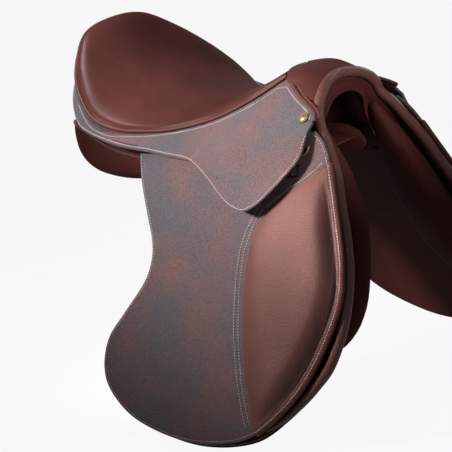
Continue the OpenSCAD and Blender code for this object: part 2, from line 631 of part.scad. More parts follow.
// Flaps: the outline from the rear top round the lower edge to the front top, then along the top
flap_shares = [[-0.44, 0.105], [-0.425, 0.185], [-0.39, 0.285], [-0.352, 0.385], [-0.35, 0.455],
               [-0.378, 0.525], [-0.455, 0.625], [-0.52, 0.715], [-0.532, 0.81], [-0.49, 0.887],
               [-0.37, 0.96], [-0.18, 0.998], [-0.01, 0.993], [0.145, 0.95], [0.275, 0.848],
               [0.36, 0.745], [0.423, 0.627], [0.463, 0.505], [0.463, 0.405], [0.437, 0.288],
               [0.395, 0.142], [0.378, 0.086], [0.354, 0.037], [0.312, 0]];
flap_top_shares = [[0.265, 0.01], [0.16, 0.025], [0.053, 0.042], [-0.053, 0.066], [-0.18, 0.091],
                   [-0.34, 0.103]];
flap_steps = 92;
function side_points(shares) = [for (s = shares) [s[0] * flap_w, -s[1] * flap_h]];
flap_outline = concat(curve(side_points(flap_shares), flap_steps), side_points(flap_top_shares));
// A point on the line that the flap bends along
flap_fold_x = 50;
flap_fold_z = -103;
fold_reach = flap_w + flap_h;
module above_fold(lift)
    translate([flap_fold_x, flap_fold_z])
    rotate(fold_slope)
    translate([-fold_reach, lift])
    square([2 * fold_reach, fold_reach]);
module below_fold(lift)
    translate([flap_fold_x, flap_fold_z])
    rotate(fold_slope)
    translate([-fold_reach, lift - fold_reach])
    square([2 * fold_reach, fold_reach]);

// The stirrup bar stands in a window of the flap's fixed root
bar_x_share = 0.254;
bar_x = bar_x_share * flap_w;
bar_z = -50;
bar_o = 5.2;
window_margin = 12;
window_front = 3;
module flap_root_off_side()
    side_frame()
    linear_extrude(flap_t)
    difference() {
        intersection() {
            polygon(flap_outline);
            above_fold(0);
        }
        translate([bar_x - bar_len - window_margin, bar_z - window_margin])
            square([bar_len + window_margin + window_front, 2 * window_margin]);
    }
module flap_root_right() color(grain_colour) flap_root_off_side();
module flap_root_left() color(grain_colour) near_side() flap_root_off_side();
module flap_off_side()
    side_frame()
    linear_extrude(flap_t)
    intersection() {
        polygon(flap_outline);
        below_fold(-gap);
    }
module flap_right() color(grain_colour) flap_off_side();
module flap_left() color(grain_colour) near_side() flap_off_side();

// Knee pad: a stuffed pad sewn to the outside of the flap
pad_shares = [[0.382, 0.141], [0.318, 0.155], [0.26, 0.186], [0.193, 0.232], [0.146, 0.262], [0.106, 0.305],
              [0.08, 0.37], [0.07, 0.445], [0.07, 0.545], [0.08, 0.65], [0.1, 0.747], [0.127, 0.838],
              [0.158, 0.912], [0.18, 0.92], [0.27, 0.842], [0.353, 0.743], [0.415, 0.627], [0.455, 0.505],
              [0.455, 0.405], [0.429, 0.288], [0.396, 0.18]];
// Share of the outline and share of the swell at each ring
pad_level_shares = [[1, 0], [0.985, 0.2], [0.93, 0.5], [0.83, 0.74], [0.68, 0.9], [0.45, 0.98], [0.2, 1]];
pad_centre_shares = [0.25, 0.5];
pad_steps = 42;
pad_loop = let (p = side_points(pad_shares), n = len(p))
    [for (j = [0:pad_steps - 1]) let (t = j * n / pad_steps, i = floor(t))
        smooth(p[(i + n - 1) % n], p[i], p[(i + 1) % n], p[(i + 2) % n], t - i)];
module knee_pad_off_side() {
    c = side_points([pad_centre_shares])[0];
    side_frame()
    loft([for (l = pad_level_shares)
        [for (p = pad_loop) let (q = mix(c, p, l[0])) [q.x, q.y, flap_t + gap / 2 + l[1] * pad_swell]]]);
}
module knee_pad_right() color(calf_colour) knee_pad_off_side();
module knee_pad_left() color(calf_colour) near_side() knee_pad_off_side();

// Rolled binding on the flap's front edge
binding_start = 13.2;
binding_end = 19.6;
binding_steps = 24;
binding_probe = 0.1;
binding_path = [for (j = [0:binding_steps])
    let (t = mix(binding_start, binding_end, j / binding_steps), p = side_points(flap_shares))
    let (b = curve_at(p, t), d = unit(curve_at(p, t + binding_probe) - b), r = binding_d / 2 + gap)
    side_pt(b.x + d.y * r, b.y - d.x * r, flap_t / 2)];
module binding_off_side() cordlet(binding_path, binding_d / 2, side_n, 8);
module flap_binding_right() color(edge_colour) binding_off_side();
module flap_binding_left() color(edge_colour) near_side() binding_off_side();

// Sweat flap: lies inside the flap and shows a little past its lower edge
sweat_shares = [[-0.4, 0.2], [-0.375, 0.285], [-0.35, 0.385], [-0.352, 0.46], [-0.385, 0.54], [-0.47, 0.645],
                [-0.525, 0.73], [-0.53, 0.82], [-0.49, 0.897], [-0.37, 0.972], [-0.18, 1.01], [-0.01, 1.006],
                [0.15, 0.965], [0.262, 0.888], [0.345, 0.805], [0.402, 0.7]];
sweat_front_margin = roll_d / 2 + 2 * gap;
sweat_top_shares = [[0.08, 0.16], [-0.1, 0.165], [-0.36, 0.17]];
// The sweat flap's front tongue passes just ahead of the stirrup bar
sweat_bar_clear = 6;
sweat_tongue_shares = [-0.01, 0.16];
sweat_tongue = [for (s = sweat_tongue_shares) [bar_x + sweat_bar_clear * (1 - s), -s * flap_h]];
sweat_steps = 60;
sweat_outline = concat(
    curve(side_points(sweat_shares), sweat_steps),
    [for (i = [len(arch_side_shares) - 1:-1:0])
        let (p = side_points(arch_side_shares)[i]) [p.x - sweat_front_margin, p.y]],
    sweat_tongue,
    side_points(sweat_top_shares));
module sweat_flap_off_side()
    side_frame()
    translate([0, 0, -sweat_gap - sweat_t])
    linear_extrude(sweat_t)
    polygon(sweat_outline);
module sweat_flap_right() color(calf_colour) sweat_flap_off_side();
module sweat_flap_left() color(calf_colour) near_side() sweat_flap_off_side();

// Pocket on the panel that holds the point of the tree
pocket_clear = 6;
pocket_wall = 1.5;
module point_pocket_off_side() {
    p = point_shares[len(point_shares) - 1];
    w = head_w + 4 * gap;
    h = p[1] * flap_h + bar_z - bar_h / 2 - pocket_clear;
    lean = atan2((point_shares[1][0] - p[0]) * flap_w, (p[1] - point_shares[1][1]) * flap_h);
    side_frame()
    translate([p[0] * flap_w, -p[1] * flap_h, point_o - head_t / 2 - 2 * gap - pocket_wall])
    rotate([0, 0, -lean])
    difference() {
        translate([-w / 2 - pocket_wall, -pocket_wall - gap, 0])
            cube([w + 2 * pocket_wall, h, head_t + 3 * gap + 2 * pocket_wall]);
        translate([-w / 2, -gap, pocket_wall])
            cube([w, h + over, head_t + 3 * gap]);
    }
}
module point_pocket_right() color(panel_colour) point_pocket_off_side();
module point_pocket_left() color(panel_colour) near_side() point_pocket_off_side();

// Stirrup bar: a plate on the tree's point, an arm and an open bar whose end holds the safety catch
bar_plate_w = 44;
bar_plate_h = 34;
bar_plate_o = point_o + head_t / 2 + 3 * gap;
bar_arm = 12;
fork_gap = 2.2;
fork_len = 16;
catch_x = bar_x - bar_len + fork_len / 2;
bar_rivet_r = 3;
bar_rivet_h = 1.4;
bar_rivets = [-12, 12];
module stirrup_bar_off_side()
    side_frame() {
        translate([bar_x - bar_plate_w, bar_z - bar_h / 2, bar_plate_o])
            cube([bar_plate_w, bar_plate_h, plate_t]);
        for (x = bar_rivets)
            translate([bar_x - bar_plate_w / 2 + x, bar_z + bar_plate_h / 2, bar_plate_o])
                cylinder(h = plate_t + bar_rivet_h, r = bar_rivet_r);
        translate([bar_x - bar_arm, bar_z - bar_h / 2, bar_plate_o])
            cube([bar_arm, bar_h, bar_o + bar_t - bar_plate_o]);
        difference() {
            union() {
                translate([catch_x, bar_z - bar_h / 2, bar_o])
                    cube([bar_x - catch_x, bar_h, bar_t]);
                translate([catch_x, bar_z, bar_o])
                    cylinder(h = bar_t, r = bar_h / 2);
            }
            translate([catch_x - bar_h, bar_z - bar_h, bar_o + (bar_t - fork_gap) / 2])
                cube([bar_h + fork_len / 2, 2 * bar_h, fork_gap]);
            translate([catch_x, bar_z, bar_o - over])
                cylinder(h = bar_t + 2 * over, r = pin_r);
        }
    }
module stirrup_bar_right() color(steel_colour) stirrup_bar_off_side();
module stirrup_bar_left() color(steel_colour) near_side() stirrup_bar_off_side();

module catch_pin_off_side()
    side_frame()
    translate([catch_x, bar_z, bar_o])
    cylinder(h = bar_t, r = pin_r);
module catch_pin_right() color(steel_colour) catch_pin_off_side();
module catch_pin_left() color(steel_colour) near_side() catch_pin_off_side();

catch_clear = 0.3;
catch_h = 8;
module stirrup_catch_off_side()
    side_frame()
    translate([catch_x, bar_z, bar_o + (bar_t - fork_gap) / 2 + catch_clear])
    linear_extrude(fork_gap - 2 * catch_clear)
    difference() {
        union() {
            circle(d = catch_h);
            translate([-catch_len + catch_h / 2, -catch_h / 2])
                square([catch_len - catch_h / 2, catch_h]);
            translate([-catch_len + catch_h / 2, 0])
                circle(d = catch_h);
        }
        circle(r = pin_r + running);
    }
module stirrup_catch_right() color(steel_colour) stirrup_catch_off_side();
module stirrup_catch_left() color(steel_colour) near_side() stirrup_catch_off_side();

// Girth straps hang from webs between the flap and the sweat flap
strap_o = -7;
strap_front_x = -32;
strap_rear_x = -88;
strap_z = -70;
strap_margin = 14;
strap_first = 120;
strap_pitch = 20;
strap_tip = 12;
module strap_off_side(x)
    side_frame()
    translate([x, strap_z, strap_o])
    linear_extrude(strap_t)
    difference() {
        polygon([[-strap_w / 2, strap_margin], [-strap_w / 2, strap_tip - strap_len], [0, -strap_len],
                 [strap_w / 2, strap_tip - strap_len], [strap_w / 2, strap_margin]]);
        for (i = [0:strap_holes - 1])
            translate([0, -strap_first - i * strap_pitch]) circle(r = hole_r);
    }
module girth_strap_front_right() color(edge_colour) strap_off_side(strap_front_x);
module girth_strap_front_left() color(edge_colour) near_side() strap_off_side(strap_front_x);
module girth_strap_rear_right() color(edge_colour) strap_off_side(strap_rear_x);
module girth_strap_rear_left() color(edge_colour) near_side() strap_off_side(strap_rear_x);

strap_places = [strap_front_x, strap_rear_x];
girth_web_w = 34;
// The front web reaches higher, as the rails rise to the front
girth_web_heights = [76, 60];
girth_web_low = 24;
module girth_web_off_side()
    side_frame()
    for (i = [0, 1])
        translate([strap_places[i] - girth_web_w / 2, strap_z - girth_web_low, strap_o - 2 * gap - web_t])
            cube([girth_web_w, girth_web_heights[i], web_t]);
module girth_web_right() color(web_colour) girth_web_off_side();
module girth_web_left() color(web_colour) near_side() girth_web_off_side();

// Front dee in its chape, on the flap just ahead of the skirt's lobe
dee_x_share = 0.2725;
dee_x = dee_x_share * flap_w;
dee_z = -20;
dee_stand = 1.8;
dee_o = flap_t + dee_wire / 2 + dee_stand;
chape_w = 11;
chape_wall = 1.2;
chape_h = 16;
dee_clear = 0.25;
module dee_off_side()
    side_frame()
    translate([dee_x, dee_z, dee_o]) {
        rotate([0, 90, 0])
            cylinder(h = dee_w + dee_wire, r = dee_wire / 2, center = true);
        rotate([0, 0, 180])
            rotate_extrude(angle = 180)
            translate([(dee_w + dee_wire) / 2, 0])
            circle(d = dee_wire);
        for (s = [-1, 1])
            translate([s * (dee_w + dee_wire) / 2, 0, 0])
                sphere(d = dee_wire);
    }
module front_dee_right() color(brass_colour) dee_off_side();
module front_dee_left() color(brass_colour) near_side() dee_off_side();
module chape_off_side()
    side_frame()
    translate([dee_x, dee_z, 0])
    difference() {
        union() {
            translate([-chape_w / 2, 0, dee_o])
                rotate([0, 90, 0])
                cylinder(h = chape_w, r = dee_wire / 2 + dee_clear + chape_wall);
            translate([-chape_w / 2, 0, flap_t + gap])
                cube([chape_w, chape_h, chape_wall]);
        }
        translate([-chape_w / 2 - over, 0, dee_o])
            rotate([0, 90, 0])
            cylinder(h = chape_w + 2 * over, r = dee_wire / 2 + dee_clear);
    }
module dee_chape_right() color(edge_colour) chape_off_side();
module dee_chape_left() color(edge_colour) near_side() chape_off_side();

tree_rails();
tree_head();
head_plate();
gullet_plate();
arch_lining();
tree_spring_right();
tree_spring_left();
tree_rivets();
seat_web();
cross_webs();
seat_foam();
seat_cover();
seat_welt();
skirt_right();
skirt_left();
skirt_lobe_right();
skirt_lobe_left();
front_welt_right();
front_welt_left();
pommel_cap();
pommel_badge();
stud_right();
stud_left();
panel_right();
panel_left();
front_panel_right();
front_panel_left();
front_roll();
gullet_strip();
sweat_flap_right();
sweat_flap_left();
point_pocket_right();
point_pocket_left();
flap_root_right();
flap_root_left();
flap_right();
flap_left();
knee_pad_right();
knee_pad_left();
flap_binding_right();
flap_binding_left();
stirrup_bar_right();
stirrup_bar_left();
stirrup_catch_right();
stirrup_catch_left();
catch_pin_right();
catch_pin_left();
girth_strap_front_right();
girth_strap_front_left();
girth_strap_rear_right();
girth_strap_rear_left();
girth_web_right();
girth_web_left();
front_dee_right();
front_dee_left();
dee_chape_right();
dee_chape_left();
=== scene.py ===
# Jumping saddle: leather, stitching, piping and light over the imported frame.
# Sizes are in mm until a mesh is made.
import bpy
import json
import numpy as np
from mathutils import Matrix, Vector, geometry
from mathutils.bvhtree import BVHTree


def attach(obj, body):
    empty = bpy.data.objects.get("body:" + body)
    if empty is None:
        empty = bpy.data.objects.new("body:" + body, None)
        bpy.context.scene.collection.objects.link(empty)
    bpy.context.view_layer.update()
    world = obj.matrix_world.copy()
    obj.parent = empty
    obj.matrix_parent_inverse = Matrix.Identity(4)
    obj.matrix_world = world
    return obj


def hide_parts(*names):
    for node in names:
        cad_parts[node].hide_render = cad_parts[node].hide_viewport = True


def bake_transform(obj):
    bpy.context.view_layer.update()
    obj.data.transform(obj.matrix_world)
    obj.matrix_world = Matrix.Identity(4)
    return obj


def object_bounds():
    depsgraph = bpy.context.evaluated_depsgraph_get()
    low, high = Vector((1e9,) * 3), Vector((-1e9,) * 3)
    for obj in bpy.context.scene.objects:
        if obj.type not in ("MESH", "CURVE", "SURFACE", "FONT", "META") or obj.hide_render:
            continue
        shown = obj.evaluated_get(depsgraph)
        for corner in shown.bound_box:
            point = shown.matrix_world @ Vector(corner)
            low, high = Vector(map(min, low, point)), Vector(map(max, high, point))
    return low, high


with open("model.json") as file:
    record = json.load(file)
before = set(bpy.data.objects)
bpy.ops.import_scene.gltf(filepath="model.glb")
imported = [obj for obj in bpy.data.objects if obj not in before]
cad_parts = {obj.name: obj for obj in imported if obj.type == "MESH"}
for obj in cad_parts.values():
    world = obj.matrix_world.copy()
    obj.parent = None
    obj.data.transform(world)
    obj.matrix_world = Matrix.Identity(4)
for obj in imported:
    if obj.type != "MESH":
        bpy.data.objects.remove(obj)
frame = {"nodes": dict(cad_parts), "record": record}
cad_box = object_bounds()
MM = 0.001
SIDES = (("right", 1.0), ("left", -1.0))

# Sizes of the construction
SEAT_LOW, SEAT_LEN, CANTLE_BACK, SEAT_W = 75.0, 395.0, 247.0, 266.0
CANTLE_RISE, POMMEL_RISE, RIM_ROLL, WELT_D, FOAM_T, GAP = 112.0, 61.0, 24.0, 5.0, 24.0, 0.4
SPLAY, TOE = np.radians(22.0), np.radians(8.0)
FLAP_W, FLAP_H, FLAP_T = 378.0, 407.0, 3.5
PAD_SWELL, SWEAT_GAP, SWEAT_T = 19.0, 13.0, 3.0
LOBE_W, LOBE_H, LOBE_GAP, SKIRT_T = 185.0, 82.0, 11.0, 3.0
LOBE_LEAN, LOBE_SLOPE, FLAP_SLOPE = np.radians(6.5), np.radians(12.2), np.radians(31.8)
BAND_H, BAND_FLARE = 40.0, 29.0
ROLL_D, COVER_T = 13.0, 2.5


# Curves
def unit(v):
    return v / np.maximum(np.linalg.norm(v, axis=-1, keepdims=True), 1e-9)


def curve(points, ts):
    """Smooth curve through points along the first axis, at parameters ts."""
    p = np.asarray(points, float)
    p = np.concatenate([[2 * p[0] - p[1]], p, [2 * p[-1] - p[-2]]])
    ts = np.atleast_1d(np.asarray(ts, float))
    i = np.clip(np.floor(ts).astype(int), 0, len(p) - 4)
    f = (ts - i).reshape((-1,) + (1,) * (p.ndim - 1))
    a, b, c, d = p[i], p[i + 1], p[i + 2], p[i + 3]
    return (2 * b + (c - a) * f + (2 * a - 5 * b + 4 * c - d) * f ** 2 + (3 * b - a - 3 * c + d) * f ** 3) / 2


def spread(points, n):
    return curve(points, np.linspace(0, len(points) - 1, n))


def loop(points, n):
    p = np.asarray(points, float)
    p = np.concatenate([p[-2:], p, p[:3]])
    return curve(p, 2 + np.linspace(0, len(p) - 5, n, endpoint=False))


def both(half):
    half = np.asarray(half, float)
    return np.vstack([half[::-1], half[1:] * [1, -1, 1]])


def lengths(path):
    return np.concatenate([[0], np.cumsum(np.linalg.norm(np.diff(path, axis=0), axis=1))])


def even(path, step):
    """The path again with points a step apart."""
    s = lengths(path)
    u = np.linspace(0, s[-1], max(2, int(round(s[-1] / step)) + 1))
    return np.stack([np.interp(u, s, path[:, k]) for k in range(path.shape[1])], 1)


def relax(values, weight, rounds):
    """Softens values along the first axis where weight is above 0."""
    v = values.copy()
    for _ in range(rounds):
        v[1:-1] += weight[1:-1, None, None] * 0.5 * ((v[:-2] + v[2:]) / 2 - v[1:-1])
    return v


# The side plane: p forward, q up, o outward
SIDE_O = np.array([100.0, -90.0, SEAT_LOW])
SIDE_U = np.array([np.cos(TOE), np.sin(TOE), 0.0])
SIDE_V = np.array([-np.sin(TOE) * np.sin(SPLAY), np.cos(TOE) * np.sin(SPLAY), np.cos(SPLAY)])
SIDE_N = np.array([np.sin(TOE) * np.cos(SPLAY), -np.cos(TOE) * np.cos(SPLAY), np.sin(SPLAY)])


def side(p, q, o):
    p, q, o = np.broadcast_arrays(np.asarray(p, float), q, o)
    return SIDE_O + p[..., None] * SIDE_U + q[..., None] * SIDE_V + o[..., None] * SIDE_N


def plane_points(shares):
    return np.asarray(shares, float) * [FLAP_W, -FLAP_H]


# Meshes
def mesh(name, verts, faces, mat, mirror=1.0):
    me = bpy.data.meshes.new(name)
    v = np.asarray(verts, float) * [1, mirror, 1] * MM
    fs = [list(f) if mirror > 0 else list(f)[::-1] for f in faces]
    me.from_pydata(v.tolist(), [], fs)
    me.validate()
    me.polygons.foreach_set("use_smooth", [True] * len(me.polygons))
    me.materials.append(mat)
    ob = bpy.data.objects.new(name, me)
    bpy.context.scene.collection.objects.link(ob)
    return ob


def bake(ob):
    deps = bpy.context.evaluated_depsgraph_get()
    me = bpy.data.meshes.new_from_object(ob.evaluated_get(deps))
    ob.modifiers.clear()
    ob.data = me
    me.polygons.foreach_set("use_smooth", [True] * len(me.polygons))
    return ob


def thicken(ob, depth, edge=0.8, steps=2):
    """Gives an open skin its thickness inward and a rounded edge."""
    m = ob.modifiers.new("thick", "SOLIDIFY")
    m.thickness, m.offset, m.use_even_offset = depth * MM, -1.0, True
    b = ob.modifiers.new("edge", "BEVEL")
    b.width, b.segments, b.limit_method, b.angle_limit = edge * MM, steps, "ANGLE", np.radians(50)
    return bake(ob)


def grid_faces(n, m, start=0, closed=False):
    """Faces over n rows of m points; a closed grid joins the end of each row to its start."""
    cols = np.arange(m if closed else m - 1)
    row = start + np.arange(n - 1)[:, None] * m
    a, b = row + cols, row + (cols + 1) % m
    return np.stack([a, b, b + m, a + m], -1).reshape(-1, 4).tolist()


def tube(path, a, b=None, up=None, sides=12):
    """Tube with rounded ends along a path: half width a, and half thickness b along up."""
    path = np.asarray(path, float)
    count = len(path)
    a = np.broadcast_to(np.asarray(a, float), count)
    b = a if b is None else np.broadcast_to(np.asarray(b, float), count)
    t = unit(np.gradient(path, axis=0))
    if up is None:
        n, v = np.zeros_like(t), np.cross(t[0], [0.31, 0.5, 0.81])
        for i in range(count):
            v = v - t[i] * (v @ t[i])
            v = v / np.linalg.norm(v)
            n[i] = v
    else:
        up = np.broadcast_to(np.asarray(up, float), t.shape)
        n = unit(up - t * np.sum(up * t, axis=1, keepdims=True))
    m = np.cross(t, n)
    swing = np.radians([80, 50, 25])
    ends = np.minimum(a, b)
    at = [(0, -ends[0] * np.sin(w), np.cos(w)) for w in swing]
    at += [(i, 0, 1) for i in range(count)]
    at += [(count - 1, ends[-1] * np.sin(w), np.cos(w)) for w in swing[::-1]]
    ang = np.linspace(0, 2 * np.pi, sides, endpoint=False)
    wide, high = np.cos(ang)[:, None], np.sin(ang)[:, None]
    rings = [path[i] + t[i] * d + s * (a[i] * wide * m[i] + b[i] * high * n[i]) for i, d, s in at]
    faces = grid_faces(len(rings), sides, 0, True)
    faces += [list(range(sides))[::-1], [(len(rings) - 1) * sides + k for k in range(sides)]]
    return np.vstack(rings), faces


def join(*parts):
    verts, faces, n = [], [], 0
    for v, f in parts:
        verts.append(v)
        faces += [[n + k for k in x] for x in f]
        n += len(v)
    return np.vstack(verts), faces


def rings_skin(rings):
    """Closed skin over an array of rings (n, m, 3)."""
    n, m = rings.shape[:2]
    faces = grid_faces(n, m, 0, True)
    faces += [list(range(m))[::-1], [(n - 1) * m + k for k in range(m)]]
    return rings.reshape(-1, 3), faces


def stitches(path, normal, pitch=3.7, length=2.2, r=0.67, lift=0.35):
    """A row of thread stitches along a path that lies on a surface."""
    s = lengths(path)
    n = max(1, int(s[-1] / pitch))
    u = (np.arange(n) + 0.5) * s[-1] / n
    normal = np.broadcast_to(np.asarray(normal, float), path.shape)
    c = np.stack([np.interp(u, s, path[:, k]) for k in range(3)], 1)
    ahead = np.stack([np.interp(np.minimum(u + 0.6, s[-1]), s, path[:, k]) for k in range(3)], 1)
    behind = np.stack([np.interp(np.maximum(u - 0.6, 0), s, path[:, k]) for k in range(3)], 1)
    t = unit(ahead - behind)
    up = unit(np.stack([np.interp(u, s, normal[:, k]) for k in range(3)], 1))
    w = unit(np.cross(up, t))
    ang = np.linspace(0, 2 * np.pi, 6, endpoint=False)
    ring = np.cos(ang)[:, None] * w[:, None] + np.sin(ang)[:, None] * up[:, None]
    shape = [(-0.5, 0.45, -0.5), (-0.3, 0.95, 0.1), (0.3, 0.95, 0.1), (0.5, 0.45, -0.5)]
    rows = []
    for along, wide, high in shape:
        mid = c + t * (along * length) + up * (lift + high * r)
        rows.append(mid[:, None] + wide * r * ring)
    v = np.stack(rows, 1).reshape(-1, 3)
    faces = []
    for i in range(n):
        base = i * 24
        faces += grid_faces(4, 6, base, True)
        faces += [[base + k for k in range(6)][::-1], [base + 18 + k for k in range(6)]]
    return v, faces


def on_skin(path, skin):
    """The nearest places on a skin to a path, and the skin's normals there."""
    tree = BVHTree.FromPolygons([tuple(v) for v in skin[0]], [tuple(f) for f in skin[1]])
    hits = [tree.find_nearest(Vector(p)) for p in path]
    return np.array([tuple(h[0]) for h in hits]), np.array([tuple(h[1]) for h in hits])


def faired(path, middle, reach, blur):
    """A path with the corner at one of its points rounded off."""
    s = lengths(path)
    w = np.exp(-((s[:, None] - s[None]) / blur) ** 2 / 2) * np.gradient(s)[None]
    soft = w @ path / w.sum(1, keepdims=True)
    share = np.clip(1.6 - np.abs(s - s[middle]) / reach, 0, 1)[:, None]
    return path + (soft - path) * share


def inside(poly, pts):
    x, y = pts[:, 0], pts[:, 1]
    hit = np.zeros(len(pts), bool)
    for (x0, y0), (x1, y1) in zip(poly, np.roll(poly, -1, axis=0)):
        cut = (y0 > y) != (y1 > y)
        if y1 != y0:
            hit ^= cut & (x < (x1 - x0) * (y - y0) / (y1 - y0) + x0)
    return hit


def edge_distance(poly, pts, closed=True):
    a, b = (poly, np.roll(poly, -1, axis=0)) if closed else (poly[:-1], poly[1:])
    best = np.full(len(pts), 1e9)
    for p, q in zip(a, b):
        d = q - p
        f = np.clip(((pts - p) @ d) / max(d @ d, 1e-12), 0, 1)
        best = np.minimum(best, np.linalg.norm(pts - p - f[:, None] * d, axis=1))
    return best


def fill(outline, holes=(), step=9.0):
    """Triangles over a flat outline with even points inside."""
    outline = np.asarray(outline, float)
    lo, hi = outline.min(0), outline.max(0)
    ys = np.arange(lo[1], hi[1], step * 0.866)
    xs = np.arange(lo[0], hi[0], step)
    pts = np.array([(x + (step / 2 if i % 2 else 0), y) for i, y in enumerate(ys) for x in xs])
    pts = pts[inside(outline, pts) & (edge_distance(outline, pts) > step * 0.55)]
    rims = [outline]
    for h in holes:
        h = np.asarray(h, float)
        pts = pts[~inside(h, pts) & (edge_distance(h, pts) > step * 0.4)]
        rims.append(h)
    edges, n = [], 0
    for r in rims:
        edges += [(n + k, n + (k + 1) % len(r)) for k in range(len(r))]
        n += len(r)
    verts = np.vstack(rims + [pts])
    out = geometry.delaunay_2d_cdt([Vector(p) for p in verts], edges, [], 1, 1e-6)
    v = np.array([tuple(p) for p in out[0]])
    f = [list(x) for x in out[2]]
    mid = np.array([v[x].mean(0) for x in f])
    keep = inside(outline, mid)
    for h in holes:
        keep &= ~inside(np.asarray(h, float), mid)
    return v, [x for x, k in zip(f, keep) if k]


def shifted(path, d):
    """A flat path moved sideways, to its left for d above 0."""
    t = unit(np.gradient(path, axis=0))
    return path + d * np.stack([-t[:, 1], t[:, 0]], 1)


# Materials
def rgb(r, g, b):
    c = np.array([r, g, b]) / 255.0
    lin = np.where(c <= 0.04045, c / 12.92, ((c + 0.055) / 1.055) ** 2.4)
    return (*lin.tolist(), 1.0)


def material(name):
    m = bpy.data.materials.new(name)
    m.use_nodes = True
    nt = m.node_tree
    return m, nt, nt.nodes["Principled BSDF"], nt.nodes.new("ShaderNodeTexCoord").outputs["Object"]


def node(nt, kind, **sets):
    n = nt.nodes.new("ShaderNode" + kind)
    for k, v in sets.items():
        if k in n.inputs:
            n.inputs[k].default_value = v
        else:
            setattr(n, k, v)
    return n


def blend_colour(nt, factor, a, b):
    n = nt.nodes.new("ShaderNodeMix")
    n.data_type = "RGBA"
    nt.links.new(factor, n.inputs["Factor"])
    for socket, value in ((n.inputs[6], a), (n.inputs[7], b)):
        if isinstance(value, tuple):
            socket.default_value = value
        else:
            nt.links.new(value, socket)
    return n.outputs[2]


def ranged(nt, value, a, b, c, d):
    n = node(nt, "MapRange", **{"From Min": a, "From Max": b, "To Min": c, "To Max": d})
    nt.links.new(value, n.inputs["Value"])
    return n.outputs["Result"]


def leather(name, base, patch, crease, cells, depth, rough, coat, sheen, grain, drift=13.0):
    """Pebbled leather: colour drifts in patches and darkens in creases, partly as painted shade; the gloss is
    a thin coat.
    """
    m, nt, bsdf, at = material(name)
    warp = node(nt, "TexNoise", Scale=cells * 0.6, Detail=1.0)
    nt.links.new(at, warp.inputs["Vector"])
    moved = node(nt, "VectorMath", operation="MULTIPLY_ADD")
    nt.links.new(warp.outputs["Color"], moved.inputs[0])
    moved.inputs[1].default_value = (0.8 / cells,) * 3
    nt.links.new(at, moved.inputs[2])
    peb = node(nt, "TexVoronoi", feature="SMOOTH_F1", Scale=cells)
    peb.inputs["Smoothness"].default_value = 0.35
    nt.links.new(moved.outputs[0], peb.inputs["Vector"])
    fine = node(nt, "TexNoise", Scale=cells * 4.0, Detail=2.0)
    nt.links.new(at, fine.inputs["Vector"])
    broad = node(nt, "TexNoise", Scale=drift, Detail=3.0, Roughness=0.55)
    nt.links.new(at, broad.inputs["Vector"])
    colour = blend_colour(nt, ranged(nt, broad.outputs["Fac"], 0.38, 0.66, 0.0, 1.0), base, patch)
    # Pebble tops keep the lighter base colour and the valleys turn to the crease colour: partly the leather's
    # own grain, partly a painted sheen on the tops and painted shade in the creases.
    colour = blend_colour(nt, ranged(nt, peb.outputs["Distance"], 0.25, 0.75, 0.0, grain), colour, crease)
    nt.links.new(colour, bsdf.inputs["Base Color"])
    dull = ranged(nt, peb.outputs["Distance"], 0.1, 0.8, rough - 0.06, rough + 0.12)
    nt.links.new(dull, bsdf.inputs["Coat Roughness"])
    high = node(nt, "Math", operation="MULTIPLY_ADD")
    nt.links.new(peb.outputs["Distance"], high.inputs[0])
    high.inputs[1].default_value = -1.0
    nt.links.new(ranged(nt, fine.outputs["Fac"], 0.3, 0.7, 0.0, 0.25), high.inputs[2])
    bump = node(nt, "Bump", Strength=depth, Distance=1.0 / cells)
    nt.links.new(high.outputs[0], bump.inputs["Height"])
    nt.links.new(bump.outputs["Normal"], bsdf.inputs["Normal"])
    nt.links.new(bump.outputs["Normal"], bsdf.inputs["Coat Normal"])
    bsdf.inputs["Roughness"].default_value = 0.7
    bsdf.inputs["Specular IOR Level"].default_value = 0.0
    bsdf.inputs["Coat Weight"].default_value = coat
    bsdf.inputs["Sheen Weight"].default_value = sheen
    bsdf.inputs["Sheen Roughness"].default_value = 0.45
    bsdf.inputs["Sheen Tint"].default_value = (0.6, 0.65, 0.8, 1.0)
    return m


def metal(name, base, worn, rough):
    m, nt, bsdf, at = material(name)
    n = node(nt, "TexNoise", Scale=220.0, Detail=4.0)
    nt.links.new(at, n.inputs["Vector"])
    colour = blend_colour(nt, ranged(nt, n.outputs["Fac"], 0.35, 0.7, 0.0, 1.0), base, worn)
    nt.links.new(colour, bsdf.inputs["Base Color"])
    nt.links.new(ranged(nt, n.outputs["Fac"], 0.3, 0.7, rough - 0.06, rough + 0.1), bsdf.inputs["Roughness"])
    bsdf.inputs["Metallic"].default_value = 1.0
    bump = node(nt, "Bump", Strength=0.06, Distance=0.0004)
    nt.links.new(n.outputs["Fac"], bump.inputs["Height"])
    nt.links.new(bump.outputs["Normal"], bsdf.inputs["Normal"])
    return m


def grained(name, base, dark, kind, scale, rough, depth):
    """Wood, webbing, thread or foam: bands or noise between two colours, with the same relief."""
    m, nt, bsdf, at = material(name)
    if kind == "wave":
        n = node(nt, "TexWave", Scale=scale, Distortion=3.0, Detail=2.0)
    else:
        n = node(nt, "TexNoise", Scale=scale, Detail=3.0)
    value = n.outputs["Fac"]
    nt.links.new(at, n.inputs["Vector"])
    colour = blend_colour(nt, ranged(nt, value, 0.25, 0.75, 0.0, 1.0), base, dark)
    nt.links.new(colour, bsdf.inputs["Base Color"])
    nt.links.new(ranged(nt, value, 0.2, 0.8, rough - 0.08, rough + 0.1), bsdf.inputs["Roughness"])
    bsdf.inputs["Specular IOR Level"].default_value = 0.25
    bump = node(nt, "Bump", Strength=depth, Distance=0.0006)
    nt.links.new(value, bump.inputs["Height"])
    nt.links.new(bump.outputs["Normal"], bsdf.inputs["Normal"])
    return m


